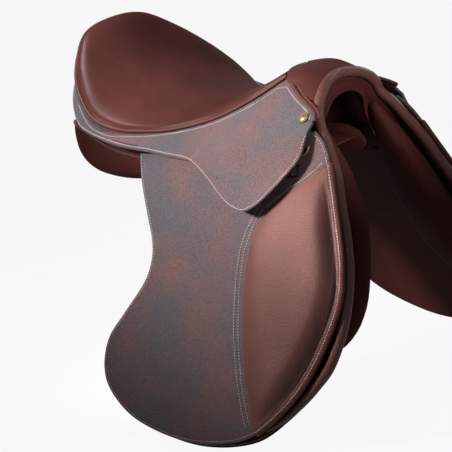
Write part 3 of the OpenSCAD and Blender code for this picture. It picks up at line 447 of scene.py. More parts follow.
SEAT_MAT = leather("seat_leather", rgb(72, 38, 35), rgb(86, 46, 42), rgb(54, 27, 25),
                   cells=1300, depth=0.1, rough=0.27, coat=0.1, sheen=0.0, grain=0.3)
# Grain leather: its cool blue-grey base is partly the leather's own tone, partly a painted sky reflection;
# the warm patch colour is its own tone.
GRAIN_MAT = leather("grain_leather", rgb(104, 98, 103), rgb(133, 98, 95), rgb(62, 52, 54),
                    cells=720, depth=1.0, rough=0.42, coat=0.22, sheen=0.2, grain=0.6, drift=14.0)
CALF_MAT = leather("calf_leather", rgb(95, 57, 51), rgb(104, 63, 56), rgb(68, 39, 35),
                   cells=680, depth=0.4, rough=0.27, coat=0.32, sheen=0.0, grain=0.45)
PANEL_MAT = leather("panel_leather", rgb(70, 36, 33), rgb(80, 42, 38), rgb(48, 22, 20),
                    cells=1200, depth=0.12, rough=0.4, coat=0.05, sheen=0.0, grain=0.35)
EDGE_MAT = leather("edge_leather", rgb(88, 52, 48), rgb(98, 58, 53), rgb(60, 32, 29),
                   cells=1300, depth=0.12, rough=0.34, coat=0.2, sheen=0.0, grain=0.35)
BRASS_MAT = metal("brass", rgb(128, 112, 74), rgb(92, 78, 50), 0.42)
STEEL_MAT = metal("steel", rgb(150, 150, 152), rgb(112, 112, 114), 0.35)
BEECH_MAT = grained("beech", rgb(190, 152, 104), rgb(158, 120, 76), "wave", 60.0, 0.55, 0.2)
FOAM_MAT = grained("foam", rgb(214, 206, 180), rgb(186, 176, 148), "noise", 900.0, 0.9, 0.5)
WEB_MAT = grained("webbing", rgb(184, 166, 130), rgb(140, 122, 90), "wave", 700.0, 0.85, 0.6)
THREAD_MAT = grained("thread", rgb(222, 208, 202), rgb(190, 170, 164), "wave", 1400.0, 0.8, 0.4)

SLOT_MATS = {"seat_leather": SEAT_MAT, "grain_leather": GRAIN_MAT, "calf_leather": CALF_MAT,
             "panel_leather": PANEL_MAT, "edge_leather": EDGE_MAT, "brass": BRASS_MAT, "steel": STEEL_MAT,
             "beech": BEECH_MAT, "foam": FOAM_MAT, "webbing": WEB_MAT}
for part in frame["record"]["subparts"]:
    ob = frame["nodes"][part["node"]]
    ob.data.materials.clear()
    ob.data.materials.append(SLOT_MATS[part["material_slot"]])


def place(ob, body, slot, *nodes):
    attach(ob, body)
    finish_piece(ob, slot, *nodes)


def finish_piece(ob, slot, *nodes):
    if nodes:
        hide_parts(*nodes)


# Seat: length, half width and height of the welt, then the start and height of its rib, then the rolled rim
SEAT = np.array([
    [0.000, 0.000, 0.78, 0.301, 0.177, 1.00], [0.013, 0.421, 0.72, 0.304, 0.173, 0.96],
    [0.078, 0.722, 0.50, 0.316, 0.155, 0.80], [0.165, 0.917, 0.255, 0.339, 0.120, 0.60],
    [0.251, 1.000, 0.045, 0.372, 0.080, 0.42], [0.339, 0.940, -0.080, 0.423, 0.040, 0.32],
    [0.430, 0.797, -0.130, 0.499, 0.012, 0.27], [0.532, 0.650, -0.218, 0.580, 0.050, 0.27],
    [0.687, 0.504, 0.016, 0.704, 0.270, 0.27], [0.845, 0.421, 0.443, 0.823, 0.575, 0.22],
    [0.967, 0.248, 0.90, 0.929, 0.900, 0.10]])
RISE = np.where(np.arange(11) < 7, CANTLE_RISE, POMMEL_RISE)
WELT_HALF = np.stack([SEAT[:, 0] * SEAT_LEN - CANTLE_BACK, -SEAT[:, 1] * SEAT_W / 2,
                      SEAT_LOW + SEAT[:, 2] * RISE], 1)
SPINE_HALF = np.stack([SEAT[:, 3] * SEAT_LEN - CANTLE_BACK, 0 * RISE, SEAT_LOW + SEAT[:, 4] * RISE], 1)
WELT, SPINE = both(WELT_HALF), both(SPINE_HALF)
RIM = both(np.stack([0 * RISE, 0 * RISE, SEAT[:, 5] * RIM_ROLL], 1))


def seat_ribs(t):
    w, s, r = curve(WELT, t), curve(SPINE, t), curve(RIM, t)[:, 2]
    rim = w[:, 2] + r

    def put(share, z):
        q = s + (w - s) * share
        q[:, 2] = z
        return q
    return np.stack([put(0, s[:, 2]), put(0.5, s[:, 2] + (rim - s[:, 2]) * 0.36), put(0.88, rim),
                     put(0.97, w[:, 2] + r * 0.62), w])


def plate_fit(xy, z, at, slack=3.0):
    """Smoothest surface over scattered heights."""
    def bend(d2):
        return 0.5 * d2 * np.log(np.maximum(d2, 1e-6))
    n = len(xy)
    k = bend(((xy[:, None] - xy[None]) ** 2).sum(-1)) + slack * np.eye(n) * 100
    p = np.hstack([np.ones((n, 1)), xy])
    a = np.block([[k, p], [p.T, np.zeros((3, 3))]])
    c = np.linalg.solve(a, np.concatenate([z, np.zeros(3)]))
    return bend(((at[:, None] - xy[None]) ** 2).sum(-1)) @ c[:n] + c[n] + at @ c[n + 1:]


def build_seat():
    t = np.linspace(0, 20, 181)
    s = np.concatenate([np.linspace(0, 2, 22)[:-1], np.linspace(2, 4, 17)])
    top = np.moveaxis(curve(seat_ribs(t), s), 0, 1)
    know = np.moveaxis(curve(seat_ribs(np.linspace(0, 20, 61)), [0.0, 0.6, 1.2, 1.7, 2.0, 2.2]), 0, 1)
    know = np.vstack([know[:31, :1].reshape(-1, 3), know[:, 1:].reshape(-1, 3)])
    flat = plate_fit(know[:, :2] / 100, know[:, 2], top[..., :2].reshape(-1, 2) / 100, 0.0004)
    flat = flat.reshape(top.shape[:2])
    w = np.clip((2.2 - s) / 0.5, 0, 1)
    w = w * w * (3 - 2 * w)
    top[..., 2] += w * (flat - top[..., 2])
    top = np.moveaxis(relax(np.moveaxis(top, 1, 0), np.exp(-((s - 2.3) / 0.8) ** 2), 60), 0, 1)
    n, m = top.shape[:2]
    wl, sp = curve(WELT, t), curve(SPINE, t) - [0, 0, FOAM_T]
    f = np.linspace(0, 1, 8)[None, :, None]
    low = sp[:, None] + (wl - [0, 0, COVER_T] - sp)[:, None] * f
    k = low.shape[1]
    faces = grid_faces(n, m) + [x[::-1] for x in grid_faces(n, k, n * m)]
    rim = np.arange(n) * m + m - 1
    base = n * m + np.arange(n) * k + k - 1
    faces += np.stack([rim[:-1], base[:-1], base[1:], rim[1:]], 1).tolist()
    front = [list(range(m)) + [n * m + x for x in range(k)][::-1],
             ([(n - 1) * m + x for x in range(m)] + [n * m + (n - 1) * k + x for x in range(k)][::-1])[::-1]]
    verts = np.vstack([top.reshape(-1, 3), low.reshape(-1, 3)])
    ob = mesh("seat", verts, [x[::-1] for x in faces + front], SEAT_MAT)
    weld = ob.modifiers.new("weld", "WELD")
    weld.merge_threshold = 0.0002
    bake(ob)
    place(ob, "saddle", "seat_leather", "seat_cover", "seat_foam")
    path = curve(WELT, np.linspace(0, 20, 201)) - [0, 0, WELT_D / 2 + GAP]
    welt = mesh("seat_piping", *tube(path, WELT_D / 2), EDGE_MAT)
    place(welt, "saddle", "edge_leather", "seat_welt")


# Skirts: a band under the seat that spreads over the waist and runs on into the lobe over the stirrup bar
FLARE = np.array([0.4, 0.4, 0.4, 0.37, 0.3, 0.58, 1.15, 1.67])
DROP = np.array([1, 1, 1, 0.95, 0.57, 0.39, 0.36, 0.46])
FOLD_SHARES = [0, 0.49, 1]
# Where the tipped catch comes up under the skirt, which gets room there
CATCH_SWING, CATCH_ROOM, CATCH_REACH = np.array([97.0, -111.0, 47.0]), 3.0, 24.0
EDGE_BOW, CORNER_BOW = np.array([8.0, 0, 2]), np.array([24.0, 0, 2])
LOBE = [[0, 0], [0.03, 0.12], [0.12, 0.33], [0.27, 0.75], [0.36, 0.92], [0.46, 1], [0.6, 0.9], [0.8, 0.6],
        [0.93, 0.36], [0.975, 0.16], [1, 0]]
FOLD_UP = -np.sin(LOBE_SLOPE) * SIDE_U + np.cos(LOBE_SLOPE) * SIDE_V
LOBE_DOWN = -np.cos(LOBE_LEAN) * FOLD_UP + np.sin(LOBE_LEAN) * SIDE_N


def lobe_fold(f, o=LOBE_GAP + SKIRT_T):
    f = np.asarray(f, float)
    return side(-68 + f * LOBE_W * np.cos(LOBE_SLOPE), -44 + f * LOBE_W * np.sin(LOBE_SLOPE), o)


OUTWARD = unit((WELT_HALF - SPINE_HALF) * [1, 1, 0])
BAND_EDGE = WELT_HALF[:8] + OUTWARD[:8] * BAND_FLARE * FLARE[:, None] - np.outer(BAND_H * DROP, [0, 0, 1])
SKIRT_LOW = both(np.vstack([BAND_EDGE, lobe_fold(FOLD_SHARES)]))


def fold_share(t):
    return np.interp(t, [0, 1, 2], FOLD_SHARES[::-1])


def skirt_ribs(t):
    t = np.asarray(t, float)
    e = np.where((t <= 2)[:, None], lobe_fold(fold_share(t)), curve(SKIRT_LOW, t))
    w = curve(WELT, t) - [0, 0, WELT_D + 2 * GAP]
    bow = np.zeros((21, 2, 3))
    bow[0] = EDGE_BOW, CORNER_BOW
    b = curve(bow, t)
    return np.stack([w, w + (e - w) / 3 + b[:, 0], w + (e - w) * 2 / 3 + b[:, 1], e])


def skirt_at(t, k):
    return curve(skirt_ribs(np.atleast_1d(t)), np.atleast_1d(k))


FRONT_EDGE = skirt_at(0.0, np.linspace(0, 3, 61))[:, 0]
FRONT_WAY = unit(FRONT_EDGE - skirt_at(0.5, np.linspace(0, 3, 61))[:, 0])


def skirt_skin():
    """The off side's skirt and lobe as one skin, with two rows for its stitches."""
    t = np.concatenate([1 - np.cos(np.linspace(0, np.pi, 81)), np.linspace(2, 10, 90)[1:]])
    band = curve(skirt_ribs(t), np.linspace(0, 3, 26))
    shares = spread(LOBE, 400)
    f = fold_share(t)
    depth = np.interp(f, shares[:, 0], shares[:, 1]) * LOBE_H
    corner = band[-1] + depth[:, None] * LOBE_DOWN
    edge = faired(corner, 80, 52.0, 15.0)
    band = band + np.linspace(0, 1, len(band))[:, None, None] ** 2 * (edge - corner)
    cols = int(np.sum(t <= 3.4))
    rows = np.linspace(0, 1, 25)[1:, None, None]
    column = np.concatenate([band[:, :cols], band[-1:, :cols] + rows * (edge - band[-1])[:cols]])
    below = np.arange(len(column)) - (len(band) - 1)
    rounded = relax(column, np.clip(1 - (below / 10.0) ** 2, 0, 1), 60)
    column += (rounded - column) * np.clip(np.minimum(f, 1 - f) / 0.12, 0, 1)[None, :cols, None]
    nb, nt = band.shape[:2]
    band[:, :cols] = column[:nb]
    drop = column[nb:]
    verts = np.vstack([band.reshape(-1, 3), drop.reshape(-1, 3)])
    away = np.linalg.norm(verts - CATCH_SWING, axis=1) / CATCH_REACH
    verts = verts + CATCH_ROOM * np.exp(-away[:, None] ** 2) * SIDE_N
    index = np.arange(nb * nt).reshape(nb, nt)
    under = np.vstack([index[-1:, :cols], nb * nt + np.arange(drop.shape[0] * cols).reshape(-1, cols)])
    faces = []
    for g in (index, under):
        faces += np.stack([g[:-1, :-1], g[:-1, 1:], g[1:, 1:], g[1:, :-1]], -1).reshape(-1, 4).tolist()
    way = unit(np.gradient(edge, axis=0))
    up = band[-7] - edge
    normal = unit(np.cross(way, up))
    normal *= np.sign(normal[40] @ np.array([0, -1.0, 0.3]))
    inward = unit(np.cross(normal, way))
    inward *= np.sign(inward[40] @ up[40])
    low_row = even((edge + inward * 2.8)[2:-1], 1.0)
    top_t = np.linspace(7.1, 0.25, 150)
    away = np.interp(top_t, [0, 2, 6], [6.5, 7.5, 10.5])
    ribs = curve(skirt_ribs(top_t), np.linspace(0, 1.6, 40))
    top_row = np.array([[np.interp(a, lengths(line), line[:, x]) for x in range(3)]
                        for a, line in zip(away, np.moveaxis(ribs, 1, 0))])
    front_row = (FRONT_EDGE - FRONT_WAY * 5.5)[8:46]
    high_row = even(spread(np.vstack([top_row, front_row])[::2], 600), 1.0)
    return (verts, faces), (low_row, high_row)


def build_skirts():
    skin, rows = skirt_skin()
    threads = join(*[stitches(*on_skin(r, skin)) for r in rows])
    pipe = FRONT_EDGE[:46] + FRONT_WAY[:46] * (WELT_D / 2 + 2 * GAP)
    second = FRONT_EDGE[:44] + FRONT_WAY[:44] * (WELT_D + 4.2) - [0, 0, 0.6]
    for name, sign in SIDES:
        ob = mesh("skirt_and_lobe_" + name, *skin, GRAIN_MAT, sign)
        weld = ob.modifiers.new("weld", "WELD")
        weld.merge_threshold = 0.00005
        thicken(ob, SKIRT_T, 0.9)
        thread = mesh("skirt_stitches_" + name, *threads, THREAD_MAT, sign)
        start, end = [(lobe_fold(0.5) + FOLD_UP * d) * [1, sign, 1] * MM for d in (9, -9)]
        for x in (ob, thread):
            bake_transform(x)
        finish_piece(ob, "grain_leather", "skirt_" + name, "skirt_lobe_" + name)
        piping = join(tube(pipe, WELT_D / 2, sides=14), tube(second, 2.0))
        ob = mesh("front_piping_" + name, *piping, EDGE_MAT, sign)
        place(ob, "saddle", "edge_leather", "front_welt_" + name)


# Front arch, pommel cap and roll
ARCH = np.array([[0, 0, 1], [0.07, 0.42, 0.93], [0.16, 0.74, 0.74], [0.2, 0.91, 0.5], [0.23, 1, 0.22]])
ARCH_SIDE = [[0.316, 0], [0.348, 0.05], [0.39, 0.13], [0.413, 0.21], [0.448, 0.317], [0.47, 0.437],
             [0.463, 0.57], [0.426, 0.69]]
ROLL_O, PANEL_O = -9.5, -SWEAT_GAP - SWEAT_T / 2
ARCH_TOP = np.array([194.0, 0, SEAT_LOW]) + ARCH * [57.0, -57.0, 50.0]
ROLL_TAIL = [[0.375, 0.762], [0.318, 0.826], [0.255, 0.882], [0.19, 0.924]]
ROLL_PATH = both(np.vstack([ARCH_TOP, side(*plane_points(ARCH_SIDE + ROLL_TAIL).T, ROLL_O)]))
HEAD_ARCH = np.array([[0, 0, 1], [0, 0.57, 0.88], [0, 1, 0.5]])
HEAD_TOP = np.array([172.0, 0, SEAT_LOW]) + HEAD_ARCH * [1, -42.0, 39.0]
HEAD_SIDE = plane_points([[0.18, 0], [0.164, 0.123], [0.148, 0.246]])
HEAD = both(np.vstack([HEAD_TOP, side(*HEAD_SIDE.T, -SWEAT_GAP - SWEAT_T - GAP - 11.0)]))


def band_sweep(u, x0, x1, h0, h1):
    """Rings of a flat band that follows the head's arch, from u[0] to u[-1]."""
    p = curve(HEAD, u * 10)
    d = curve(HEAD, np.minimum(u * 10 + 0.02, 10)) - curve(HEAD, np.maximum(u * 10 - 0.02, 0))
    t = unit(d)
    a = TOE * (1 - 2 * u)
    e = np.stack([np.cos(a), np.sin(a), 0 * a], 1)
    e = unit(e - t * np.sum(e * t, axis=1, keepdims=True))
    n = np.cross(t, e)
    h0, h1 = np.broadcast_to(h0, u.shape), np.broadcast_to(h1, u.shape)
    return np.stack([p + e * x + n * h[:, None] for x, h in ((x0, h0), (x1, h0), (x1, h1), (x0, h1))], 1)


def build_arch():
    path = even(spread(ROLL_PATH, 400), 4.0)
    s = lengths(path)
    thin = np.clip(np.minimum(s, s[-1] - s) / 130.0, 0, 1)
    radius = 2.2 + (ROLL_D / 2 - 1.7) * np.sin(thin * np.pi / 2)
    ob = mesh("front_roll_leather", *tube(path, radius, sides=20), CALF_MAT)
    place(ob, "saddle", "edge_leather", "front_roll")
    pipe = FRONT_EDGE + FRONT_WAY * (WELT_D / 2 + 2 * GAP)
    back = both(np.vstack([SPINE_HALF[-1] + [4, 0, 0], WELT_HALF[-1] + [4, 0, -1], pipe[12] + [1, 2.5, -1],
                           pipe[22] + [1, 3, -1], pipe[32] + [-2, 5, -1], pipe[42] + [-10, 8, -2]]))
    ahead = ARCH_TOP + [-ROLL_D / 2 + 1.5, 0, ROLL_D / 4]
    ahead = both(np.vstack([ahead, ahead[-1] + [2, -2, -8]]))
    b, f = spread(back, 121), spread(ahead, 121)
    s = np.linspace(0, 1, 25)[None, :, None]
    arch = np.sin(np.pi * np.linspace(0, 1, 121))[:, None, None]
    grid = f[:, None] + (b - f)[:, None] * s + [0, 0, 5.0] * np.sin(np.pi * s) * arch
    ob = mesh("pommel_leather", grid.reshape(-1, 3), grid_faces(121, 25), SEAT_MAT)
    thicken(ob, COVER_T, 0.7)
    place(ob, "saddle", "calf_leather", "pommel_cap")
    u = np.linspace(5 / 30, 25 / 30, 90)
    top = 11.0 / 2 + 4 * GAP + 2.5
    far = 36.0 / 2 + 3 * GAP + 2.5 + 2
    lining = rings_skin(band_sweep(u, -18.0, far + COVER_T / 2, top, top + COVER_T))
    facing = rings_skin(band_sweep(u, far, far + COVER_T, -4 * np.abs(2 * u - 1), top + COVER_T))
    bead = band_sweep(u, far + COVER_T, far + COVER_T, top + COVER_T / 2, top + COVER_T / 2)[:, 0]
    ob = mesh("arch_lining_leather", *join(lining, facing, tube(bead, 2.2, sides=10)), PANEL_MAT)
    edge = ob.modifiers.new("edge", "BEVEL")
    edge.width, edge.segments, edge.limit_method, edge.angle_limit = 0.0008, 2, "ANGLE", np.radians(50)
    bake(ob)
    place(ob, "saddle", "panel_leather", "arch_lining")
    u = np.linspace(0.05, 0.95, 121)
    rear = band_sweep(u, -16.0, -16.0, top + COVER_T / 2, top + COVER_T / 2)[:, 0]
    across = np.linspace(-1, 1, len(u))
    low = np.stack([0 * u + 60, across * 46, 15 + 9 * (1 - across ** 2)], 1)
    v = np.linspace(0, 1, 24)[:, None, None]
    grid = rear * (1 - v) ** 2 + (rear + [-48, 0, -3]) * 2 * v * (1 - v) + low * v ** 2
    front = band_sweep(u, far + COVER_T, far + COVER_T, 4.0, 4.0)[:, 0]
    side_wall = rear + (front - rear) * np.linspace(0, 1, 10)[1:, None, None]
    grid = np.concatenate([grid[::-1], side_wall])
    rim = path[path[:, 2] > 5.0]
    was, now = np.linspace(0, 1, len(rim)), np.linspace(0, 1, len(u))
    rim = np.stack([np.interp(now, was, rim[:, k]) for k in range(3)], 1)
    rim = rim if rim[0] @ front[0] > rim[0] @ front[-1] else rim[::-1]
    grid = np.concatenate([grid, front + (rim - front) * np.linspace(0, 1, 10)[1:, None, None]])
    ob = mesh("gullet_lining", grid.reshape(-1, 3), grid_faces(len(grid), len(u)), PANEL_MAT)
    thicken(ob, 1.2, 0.4)
    place(ob, "saddle", "panel_leather")


# Panels
PANEL = [[0.000, 1.71, 0.76, 0.10, 0.46], [0.035, 1.21, 0.90, 0.03, 0.79], [0.117, 1.00, 0.96, 0.10, 1.00],
         [0.239, 0.96, 0.92, 0.40, 1.05], [0.378, 0.96, 0.84, 0.553, 1.00], [0.527, 1.00, 0.73, 0.563, 0.95],
         [0.701, 1.07, 0.665, 0.553, 0.93], [0.826, 1.14, 0.60, 0.48, 0.91], [0.900, 1.21, 0.48, 0.40, 0.86],
         [0.963, 1.29, 0.385, 0.42, 0.79], [1.000, 1.43, 0.355, 0.51, 0.70]]
FRONT_PANEL = [[-0.02, 0.260, 0.297, 0.25], [0.05, 0.249, 0.352, 0.45], [0.123, 0.243, 0.402, 0.65],
               [0.282, 0.238, 0.463, 0.95], [0.455, 0.260, 0.481, 1.00], [0.563, 0.297, 0.466, 0.90],
               [0.634, 0.344, 0.431, 0.60], [0.663, 0.378, 0.405, 0.24]]
PANEL_LEN, PANEL_BACK, PANEL_DROP, GULLET = 408.0, 228.0, 86.0, 28.0


def puff(v, power):
    return np.sign(v) * np.abs(v) ** power


def soft_rings(c, e1, e2, a, b, sides, power=0.62):
    ang = np.linspace(0, 2 * np.pi, sides, endpoint=False)
    return (c[:, None] + (a[:, None] * puff(np.cos(ang), power))[..., None] * e1
            + (b[:, None] * puff(np.sin(ang), power))[..., None] * e2)


def rounded_ends(rings, bulge):
    """Closes a stack of rings with domed ends."""
    out = []
    for w in np.radians([75, 50, 25]):
        c = rings[0].mean(0)
        out.append(c + (rings[0] - c) * np.cos(w) - unit(rings[1].mean(0) - c) * bulge * np.sin(w))
    tail = []
    for w in np.radians([25, 50, 75]):
        c = rings[-1].mean(0)
        tail.append(c + (rings[-1] - c) * np.cos(w) + unit(c - rings[-2].mean(0)) * bulge * np.sin(w))
    return np.concatenate([np.array(out), rings, np.array(tail)])


def stuffed(verts, faces, cap, voxel=None, held=None, pressure=4.0):
    """A closed pad blown up a little as cloth, so that its leather lies as it does over stuffing."""
    ob = mesh("stuffing", verts, faces, None)
    if voxel:
        m = ob.modifiers.new("voxel", "REMESH")
        m.mode, m.voxel_size = "VOXEL", voxel * MM
        bake(ob)
    before = points_of(ob)
    c = ob.modifiers.new("cloth", "CLOTH")
    c.settings.use_pressure = True
    c.settings.uniform_pressure_force = pressure
    c.settings.effector_weights.gravity = 0.0
    c.settings.quality = 4
    if held:
        group = ob.vertex_groups.new(name="held")
        group.add(np.nonzero(held(before))[0].tolist(), 1.0, "REPLACE")
        c.settings.vertex_group_mass = "held"
    c.point_cache.frame_start, c.point_cache.frame_end = 1, 20
    for i in range(1, 21):
        bpy.context.scene.frame_set(i)
    bake(ob)
    edges = np.array([tuple(e.vertices) for e in ob.data.edges])
    move = calm(points_of(ob) - before, edges, 25 if held else 4)
    far = np.linalg.norm(move, axis=1, keepdims=True)
    after = before + move * np.minimum(1, cap / np.maximum(far, 1e-9))
    bpy.context.scene.frame_set(1)
    ob.data.vertices.foreach_set("co", (after * MM).ravel())
    if voxel:
        sub = ob.modifiers.new("round", "SUBSURF")
        sub.levels = 1
        bake(ob)
    out = points_of(ob), [list(f.vertices) for f in ob.data.polygons]
    bpy.data.objects.remove(ob)
    return out


def calm(move, edges, rounds):
    """Evens out a movement over a mesh, so that no small wrinkles stay in it."""
    count = np.bincount(edges.ravel(), minlength=len(move))[:, None]
    for _ in range(rounds):
        near = np.zeros_like(move)
        np.add.at(near, edges[:, 0], move[edges[:, 1]])
        np.add.at(near, edges[:, 1], move[edges[:, 0]])
        move = 0.5 * move + 0.5 * near / np.maximum(count, 1)
    return move


def points_of(ob):
    v = np.empty(len(ob.data.vertices) * 3)
    ob.data.vertices.foreach_get("co", v)
    return v.reshape(-1, 3) / MM


def build_panels():
    s = spread(PANEL, 60)
    y0, y1 = -s[:, 1] * GULLET, -s[:, 2] * SEAT_W / 2
    z0, z1 = -s[:, 3] * PANEL_DROP, -s[:, 4] * PANEL_DROP
    c = np.stack([s[:, 0] * PANEL_LEN - PANEL_BACK, (y0 + y1) / 2, SEAT_LOW + (z0 + z1) / 2], 1)
    rings = soft_rings(c, np.array([0, 1.0, 0]), np.array([0, 0, 1.0]), (y0 - y1) / 2, (z0 - z1) / 2, 40)
    panel = stuffed(*rings_skin(rounded_ends(rings[:, ::-1], 6.0)), 2.5, 6.0)
    seam = rings[:, 17][1:40]
    f = spread(FRONT_PANEL, 40)
    o = PANEL_O - ROLL_D / 2 - GAP
    fc = side((f[:, 1] + f[:, 2]) * FLAP_W / 2, -f[:, 0] * FLAP_H, o - f[:, 3] * 21.0)
    front = soft_rings(fc, SIDE_U, SIDE_N, (f[:, 2] - f[:, 1]) * FLAP_W / 2, f[:, 3] * 21.0, 32, 0.7)
    front = stuffed(*rings_skin(rounded_ends(front[:, ::-1], 4.0)), 2.0, 5.0)
    for name, sign in SIDES:
        ob = mesh("panel_" + name + "_leather", *panel, PANEL_MAT, sign)
        place(ob, "saddle", "calf_leather", "panel_" + name)
        ob = mesh("panel_seam_" + name, *tube(seam + [0, -0.6, 0.3], 1.4, sides=8), EDGE_MAT, sign)
        place(ob, "saddle", None)
        ob = mesh("front_panel_" + name + "_leather", *front, PANEL_MAT, sign)
        place(ob, "saddle", "panel_leather", "front_panel_" + name)
    g = curve(PANEL, np.linspace(0.1, 0.94, 50) * 10)
    y = g[:, 1] * GULLET - GAP
    z = SEAT_LOW - (g[:, 3] + (g[:, 4] - g[:, 3]) * 0.35) * PANEL_DROP + COVER_T
    x = g[:, 0] * PANEL_LEN - PANEL_BACK
    across = np.linspace(-1, 1, 13)
    grid = np.stack([np.broadcast_to(x[:, None], (50, 13)), y[:, None] * across, z[:, None] + 0 * across], -1)
    ob = mesh("gullet_leather", grid.reshape(-1, 3), [q[::-1] for q in grid_faces(50, 13)], PANEL_MAT)
    thicken(ob, COVER_T, 0.6)
    place(ob, "saddle", "panel_leather", "gullet_strip")


def build_rear_lining():
    """Thin leather that closes the space between the skirts' rear edge and the panels."""
    t = np.linspace(3.45, 16.55, 141)
    edge = curve(SKIRT_LOW, t)
    inward = unit((curve(SPINE, t) - curve(WELT, t)) * [1, 1, 0])
    high = edge + inward * 4.5 + [0, 0, 2]
    low = high + inward * 10.0
    low[:, 0] = np.maximum(low[:, 0], -215.0)
    share = spread(PANEL, 200)
    over, wide = [np.interp(low[:, 0], share[:, 0] * PANEL_LEN - PANEL_BACK, share[:, k]) for k in (3, 2)]
    reach = wide * SEAT_W / 2 - 9
    low[:, 1] = np.clip(low[:, 1], -reach, reach)
    between = np.clip((52 - np.abs(low[:, 1])) / 14, 0, 1)
    low[:, 2] = SEAT_LOW - over * PANEL_DROP - 8 - 8 * between
    v = np.linspace(0, 1, 13)[:, None, None]
    grid = high + (low - high) * v + (inward * -3.0) * np.sin(np.pi * v)
    ob = mesh("rear_lining", grid.reshape(-1, 3), grid_faces(13, 141), PANEL_MAT)
    thicken(ob, 1.2, 0.4)
    place(ob, "saddle", "panel_leather")


# Flaps, knee pads, bindings and sweat flaps
FLAP = [[-0.44, 0.105], [-0.425, 0.185], [-0.39, 0.285], [-0.352, 0.385], [-0.35, 0.455], [-0.378, 0.525],
        [-0.455, 0.625], [-0.52, 0.715], [-0.532, 0.81], [-0.49, 0.887], [-0.37, 0.96], [-0.18, 0.998],
        [-0.01, 0.993], [0.145, 0.95], [0.275, 0.848], [0.36, 0.745], [0.423, 0.627], [0.463, 0.505],
        [0.463, 0.405], [0.437, 0.288], [0.395, 0.142], [0.378, 0.086], [0.354, 0.037], [0.312, 0]]
FLAP_TOP = [[0.265, 0.01], [0.16, 0.025], [0.053, 0.042], [-0.053, 0.066], [-0.18, 0.091], [-0.34, 0.103]]
PAD_REAR = [[0.372, 0.093], [0.338, 0.118], [0.293, 0.149], [0.232, 0.184], [0.19, 0.213], [0.152, 0.241],
            [0.11, 0.297], [0.08, 0.37], [0.07, 0.445], [0.07, 0.545], [0.08, 0.65], [0.1, 0.747],
            [0.127, 0.838], [0.158, 0.912]]
PAD_FRONT = [[0.176, 0.914], [0.262, 0.834], [0.343, 0.735], [0.403, 0.622], [0.441, 0.503],
             [0.441, 0.407], [0.416, 0.293], [0.386, 0.175]]
SWEAT = [[-0.4, 0.2], [-0.375, 0.285], [-0.35, 0.385], [-0.352, 0.46], [-0.385, 0.54], [-0.47, 0.645],
         [-0.525, 0.73], [-0.53, 0.82], [-0.49, 0.897], [-0.37, 0.972], [-0.18, 1.01], [-0.01, 1.006],
         [0.15, 0.965], [0.262, 0.888], [0.345, 0.805], [0.402, 0.7]]
BAR_X, BAR_Z = 96.0, -50.0


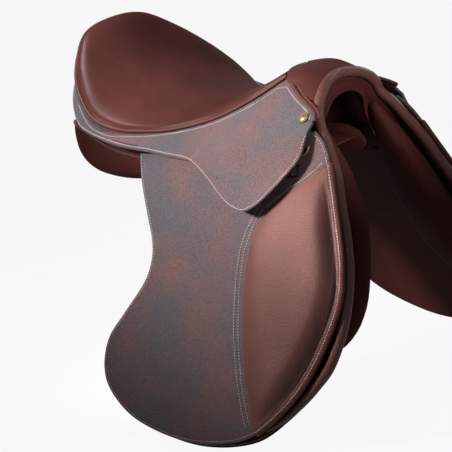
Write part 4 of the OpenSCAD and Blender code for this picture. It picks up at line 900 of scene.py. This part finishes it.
def build_flaps():
    edge = spread(plane_points(FLAP), 320)
    top = plane_points(FLAP_TOP)
    outline = np.vstack([edge, even(np.vstack([edge[-1:], top, edge[:1]]), 6.0)[1:-1]])
    w = np.array([[14.0, BAR_Z - 8], [BAR_X + 1, BAR_Z - 8], [BAR_X + 1, BAR_Z + 8], [14.0, BAR_Z + 8]])
    window = even(np.vstack([w, w[:1]]), 4.0)[:-1]
    v, tris = fill(outline, [window], 8.0)
    flap = side(v[:, 0], v[:, 1], FLAP_T)
    a, b = v[tris[0][1]] - v[tris[0][0]], v[tris[0][2]] - v[tris[0][0]]
    tris = tris if a[0] * b[1] - a[1] * b[0] > 0 else [x[::-1] for x in tris]
    pad_line = loop(plane_points(PAD_REAR + PAD_FRONT), 168)
    o = FLAP_T + 0.05

    def row(path, a=0, b=None):
        return stitches(side(path[a:b, 0], path[a:b, 1], o), SIDE_N)
    rear_row = even(shifted(edge, 3.4), 1.0)
    cut = int(np.argmin(np.linalg.norm(rear_row - plane_points([[0.17, 0.93]])[0], axis=1)))
    rows = [row(rear_row, 4, cut)]
    upper = even(shifted(edge[279:], 3.4), 1.0)
    rows.append(row(upper, 2))
    around = even(pad_line[:100], 1.0)
    for gap, a, b in ((3.0, 6, 108), (5.5, 112, 420), (12.5, 108, 424)):
        rows.append(row(shifted(around, -gap), a, min(b, len(around) - 2)))
    mid = np.array([50.0, -103.0])
    up = np.array([-np.sin(FLAP_SLOPE), np.cos(FLAP_SLOPE)])
    bind = spread(plane_points(FLAP), 2301)[1320:2080:6]
    t = unit(np.gradient(bind, axis=0))
    bind = bind - np.stack([t[:, 1], -t[:, 0]], 1) * 1.4
    bind_path = side(bind[:, 0], bind[:, 1], FLAP_T / 2)
    pad = stuffed(*pad_skin(), 1.8, held=lambda v: (v - SIDE_O) @ SIDE_N < FLAP_T + 1.2)
    sweat_edge = spread(plane_points(SWEAT), 200)
    arch = plane_points(ARCH_SIDE)[::-1] - [ROLL_D / 2 + 2 * GAP, 0]
    tongue = np.array([[BAR_X + 6 * 1.01, 0.01 * FLAP_H], [BAR_X + 6 * 0.84, -0.16 * FLAP_H]])
    inner = plane_points([[0.08, 0.16], [-0.1, 0.165], [-0.36, 0.17]])
    rest = np.vstack([sweat_edge[-1:], arch, tongue, inner, sweat_edge[:1]])
    sv, stris = fill(np.vstack([sweat_edge, even(rest, 6.0)[1:-1]]), (), 12.0)
    sweat = side(sv[:, 0], sv[:, 1], -SWEAT_GAP)
    sweat_row = even(shifted(sweat_edge, 3.0), 1.0)[4:-4]
    sweat_threads = stitches(side(sweat_row[:, 0], sweat_row[:, 1], -SWEAT_GAP + 0.05), SIDE_N)
    bind_threads = stitches(even(bind_path + SIDE_N * 3.6, 1.0), SIDE_N, 3.6, 2.5, 0.7, 0.1)
    for name, sign in SIDES:
        ob = mesh("flap_" + name + "_leather", flap, tris, GRAIN_MAT, sign)
        thicken(ob, FLAP_T, 0.9)
        thread = mesh("flap_stitches_" + name, *join(*rows), THREAD_MAT, sign)
        for x in (ob, thread):
            start, end = [side(*(mid + up * d), FLAP_T) * [1, sign, 1] * MM for d in (10, -10)]
            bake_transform(x)
        finish_piece(ob, "grain_leather", "flap_" + name, "flap_root_" + name)
        ob = mesh("binding_" + name, *tube(bind_path, 5.2, 3.6, SIDE_N, 16), EDGE_MAT, sign)
        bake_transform(ob)
        finish_piece(ob, "edge_leather", "flap_binding_" + name)
        ob = mesh("binding_stitches_" + name, *bind_threads, THREAD_MAT, sign)
        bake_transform(ob)
        ob = mesh("knee_pad_" + name + "_leather", *pad, CALF_MAT, sign)
        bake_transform(ob)
        finish_piece(ob, "calf_leather", "knee_pad_" + name)
        ob = mesh("sweat_flap_" + name + "_leather", sweat, stris, PANEL_MAT, sign)
        thicken(ob, SWEAT_T, 0.8)
        place(ob, "saddle", "calf_leather", "sweat_flap_" + name)
        ob = mesh("sweat_stitches_" + name, *sweat_threads, THREAD_MAT, sign)
        place(ob, "saddle", None)


def pad_skin():
    """Knee pad: rises gently from its rear seam and drops steeply to the binding; closed behind."""
    rear = spread(plane_points(PAD_REAR), 400)
    front = spread(plane_points(PAD_REAR[:1] + PAD_FRONT[::-1] + PAD_REAR[-1:]), 400)
    rear, front = [even(x, lengths(x)[-1] / 101)[1:-1] for x in (rear, front)]
    across = (1 - np.cos(np.linspace(0, np.pi, 37))) / 2
    flat = rear[:, None] + (front - rear)[:, None] * across[:, None]
    points = flat.reshape(-1, 2)
    from_rear, from_front = [edge_distance(x, points, False).reshape(flat.shape[:2]) for x in (rear, front)]
    climb = np.sin(np.clip(from_rear / 70.0, 0, 1) * np.pi / 2) ** 0.8
    fall = np.sin(np.clip(from_front / 22.0, 0, 1) * np.pi / 2)
    rise = climb * fall * PAD_SWELL
    for _ in range(16):
        near = rise[:-2, 1:-1] + rise[2:, 1:-1] + rise[1:-1, :-2] + rise[1:-1, 2:]
        rise[1:-1, 1:-1] = 0.5 * rise[1:-1, 1:-1] + 0.125 * near
    top = side(flat[..., 0], flat[..., 1], FLAP_T + 0.3 + rise)
    back = side(flat[..., 0], flat[..., 1], FLAP_T + 0.1)
    n, m = flat.shape[:2]
    a, b = np.arange(n * m).reshape(n, m), n * m + np.arange(n * m).reshape(n, m)
    rims = [(a[:, 0], b[:, 0]), (b[:, -1], a[:, -1]), (b[0], a[0]), (a[-1], b[-1])]
    faces = grid_faces(n, m) + [x[::-1] for x in grid_faces(n, m, n * m)]
    for x, y in rims:
        faces += np.stack([x[:-1], x[1:], y[1:], y[:-1]], 1).tolist()
    return np.vstack([top.reshape(-1, 3), back.reshape(-1, 3)]), faces


# Girth straps
STRAP_W, STRAP_T, STRAP_LEN, STRAP_Z, STRAP_O = 25.0, 4.0, 270.0, -70.0, -7.0
HOLE_R, HOLE_PITCH, FIRST_HOLE = 2.5, 20, 120


def build_straps():
    ang = np.linspace(0, 2 * np.pi, 16, endpoint=False)
    hole = HOLE_R * np.stack([np.cos(ang), np.sin(ang)], 1)
    for which, x in (("front", -32.0), ("rear", -88.0)):
        h = STRAP_W / 2
        out = np.array([[-h, 14.0], [-h, 12 - STRAP_LEN], [0, -STRAP_LEN], [h, 12 - STRAP_LEN], [h, 14.0]])
        out = out + [x, STRAP_Z]
        rim = even(np.vstack([out, out[:1]]), 5.0)[:-1]
        holes = [hole + [x, STRAP_Z - FIRST_HOLE - i * HOLE_PITCH] for i in range(7)]
        v, tris = fill(rim, holes, 6.0)
        top = side(v[:, 0], v[:, 1], STRAP_O + STRAP_T)
        edge = np.array([[x - h + 3, STRAP_Z + 8], [x - h + 3, STRAP_Z + 14 - STRAP_LEN],
                         [x, STRAP_Z + 5 - STRAP_LEN], [x + h - 3, STRAP_Z + 14 - STRAP_LEN],
                         [x + h - 3, STRAP_Z + 8]])
        path = even(edge, 1.0)
        threads = stitches(side(path[:, 0], path[:, 1], STRAP_O + STRAP_T), SIDE_N)
        for name, sign in SIDES:
            ob = mesh("girth_strap_" + which + "_" + name + "_leather", top, tris, EDGE_MAT, sign)
            thicken(ob, STRAP_T, 0.6)
            body = "strap_" + which + "_" + name
            place(ob, body, "edge_leather", "girth_strap_" + which + "_" + name)
            ob = mesh("strap_stitches_" + which + "_" + name, *threads, THREAD_MAT, sign)
            place(ob, body, None)


def build_studs():
    g = skirt_at(np.array([0.0, 0.5]), np.array([1.5, 2.25]))
    c = (g[0, 0] * 0.8 + g[0, 1] * 0.2) * 0.25 + (g[1, 0] * 0.8 + g[1, 1] * 0.2) * 0.75
    n = unit(np.cross(g[0, 1] - g[0, 0], g[1, 0] - g[0, 0]))
    n = n if n[1] < 0 else -n
    a = unit(np.cross(n, [0, 0, 1.0]))
    b = np.cross(n, a)
    prof = np.array([[7.0, 0.0], [7.0, 1.5], [6.5, 2.1], [5.9, 2.2], [5.6, 2.0], [4.2, 2.7], [2.6, 3.2],
                     [0.8, 3.4]])
    ang = np.linspace(0, 2 * np.pi, 28, endpoint=False)
    ring = np.cos(ang)[:, None] * a + np.sin(ang)[:, None] * b
    rings = np.stack([c + n * (0.6 + h) + r * ring for r, h in prof])
    for name, sign in SIDES:
        v, f = rings_skin(rings)
        ob = mesh("stud_" + name + "_brass", v, f, BRASS_MAT, sign)
        place(ob, "saddle", "brass", "stud_" + name)


build_seat()
build_skirts()
build_arch()
build_panels()
build_rear_lining()
build_flaps()
build_straps()
build_studs()

# Floor, light and camera
scene = bpy.context.scene
scene.view_settings.view_transform = "Standard"
floor_z = cad_box[0][2] - 0.0005


def white_to_camera(nt, shader, amount):
    """Camera, glossy and transmission rays see mostly white; the rest of the light sees the plain shader."""
    lp = nt.nodes.new("ShaderNodeLightPath")
    first = node(nt, "Math", operation="MAXIMUM")
    second = node(nt, "Math", operation="MAXIMUM")
    nt.links.new(lp.outputs["Is Camera Ray"], first.inputs[0])
    nt.links.new(lp.outputs["Is Glossy Ray"], first.inputs[1])
    nt.links.new(first.outputs[0], second.inputs[0])
    nt.links.new(lp.outputs["Is Transmission Ray"], second.inputs[1])
    scaled = node(nt, "Math", operation="MULTIPLY")
    nt.links.new(second.outputs[0], scaled.inputs[0])
    scaled.inputs[1].default_value = amount
    mix = nt.nodes.new("ShaderNodeMixShader")
    nt.links.new(scaled.outputs[0], mix.inputs[0])
    nt.links.new(shader, mix.inputs[1])
    return mix


FLOOR_HALF = 9000
corners = np.array([[-1, -1, 0], [1, -1, 0], [1, 1, 0], [-1, 1, 0]]) * FLOOR_HALF + [0, 0, floor_z / MM]
floor = mesh("floor", corners, [[0, 1, 2, 3]], None)
floor_mat = bpy.data.materials.new("floor")
floor_mat.use_nodes = True
nt = floor_mat.node_tree
bsdf = nt.nodes["Principled BSDF"]
bsdf.inputs["Base Color"].default_value = (0.6, 0.6, 0.6, 1)
bsdf.inputs["Roughness"].default_value = 0.9
bsdf.inputs["Specular IOR Level"].default_value = 0.1
mix = white_to_camera(nt, bsdf.outputs[0], 0.92)
glow = nt.nodes.new("ShaderNodeEmission")
nt.links.new(glow.outputs[0], mix.inputs[2])
nt.links.new(mix.outputs[0], nt.nodes["Material Output"].inputs["Surface"])
floor.data.materials.clear()
floor.data.materials.append(floor_mat)

world = bpy.data.worlds.new("studio")
scene.world = world
world.use_nodes = True
nt = world.node_tree
plain = nt.nodes["Background"]
plain.inputs["Color"].default_value = (0.92, 0.95, 1.0, 1)
plain.inputs["Strength"].default_value = 0.08
bright = nt.nodes.new("ShaderNodeBackground")
bright.inputs["Color"].default_value = (1, 1, 1, 1)
bright.inputs["Strength"].default_value = 1.0
mix = white_to_camera(nt, plain.outputs[0], 1.0)
nt.links.new(bright.outputs[0], mix.inputs[2])
nt.links.new(mix.outputs[0], nt.nodes["World Output"].inputs["Surface"])

AZ, EL, ROLL = np.radians([50.0, 18.5, -10.0])
TARGET = np.array([10.0, -68.2, -79.0]) * MM
back = np.array([np.sin(AZ) * np.cos(EL), -np.cos(AZ) * np.cos(EL), np.sin(EL)])
right = np.array([np.cos(AZ), np.sin(AZ), 0.0])
up = np.cross(back, right)
cam_x = np.cos(ROLL) * right + np.sin(ROLL) * up
cam_y = -np.sin(ROLL) * right + np.cos(ROLL) * up


def aim(ob, at, to):
    ob.location = at
    ob.rotation_euler = (Vector(to) - Vector(at)).to_track_quat("-Z", "Y").to_euler()


def area(name, at, to, size, watts, spread_angle=180.0, colour=(1, 1, 1)):
    lamp = bpy.data.lights.new(name, "AREA")
    lamp.shape, lamp.size, lamp.energy, lamp.color = "DISK", size, watts, colour
    lamp.spread = np.radians(spread_angle)
    ob = bpy.data.objects.new(name, lamp)
    scene.collection.objects.link(ob)
    aim(ob, at, to)


# A key from the left, fill from above, behind and the far side, and small lamps for the pad and the arch
area("key", (-0.34, -0.98, 0.58), (0.13, -0.12, 0.06), 0.18, 1.6, 38, (1.0, 0.98, 0.96))
area("top", (-0.3, -0.1, 1.1), (-0.2, -0.1, 0.12), 0.16, 0.36, 22)
area("rear", (-1.3, 0.1, 0.4), (-0.2, 0.0, 0.06), 0.4, 0.5, 50)
area("glint", (-0.5, -0.9, 0.66), (0.236, -0.14, -0.025), 0.08, 0.06, 8)
area("front", (1.0, -0.16, 0.42), (0.2, 0.0, 0.07), 0.12, 0.075, 16)
area("far_fill", (-0.1, 1.4, 0.45), (0.05, 0.12, -0.05), 0.6, 3.5, 90)

cam = bpy.data.cameras.new("camera")
cam.sensor_width = 36.0
cam.lens = 1800.2 / 452 * 36
cam.clip_end = 50.0
cam_ob = bpy.data.objects.new("camera", cam)
scene.collection.objects.link(cam_ob)
at = TARGET + back * 2.4
cam_ob.matrix_world = Matrix([[cam_x[i], cam_y[i], back[i], at[i]] for i in range(3)] + [[0, 0, 0, 1]])
scene.camera = cam_ob
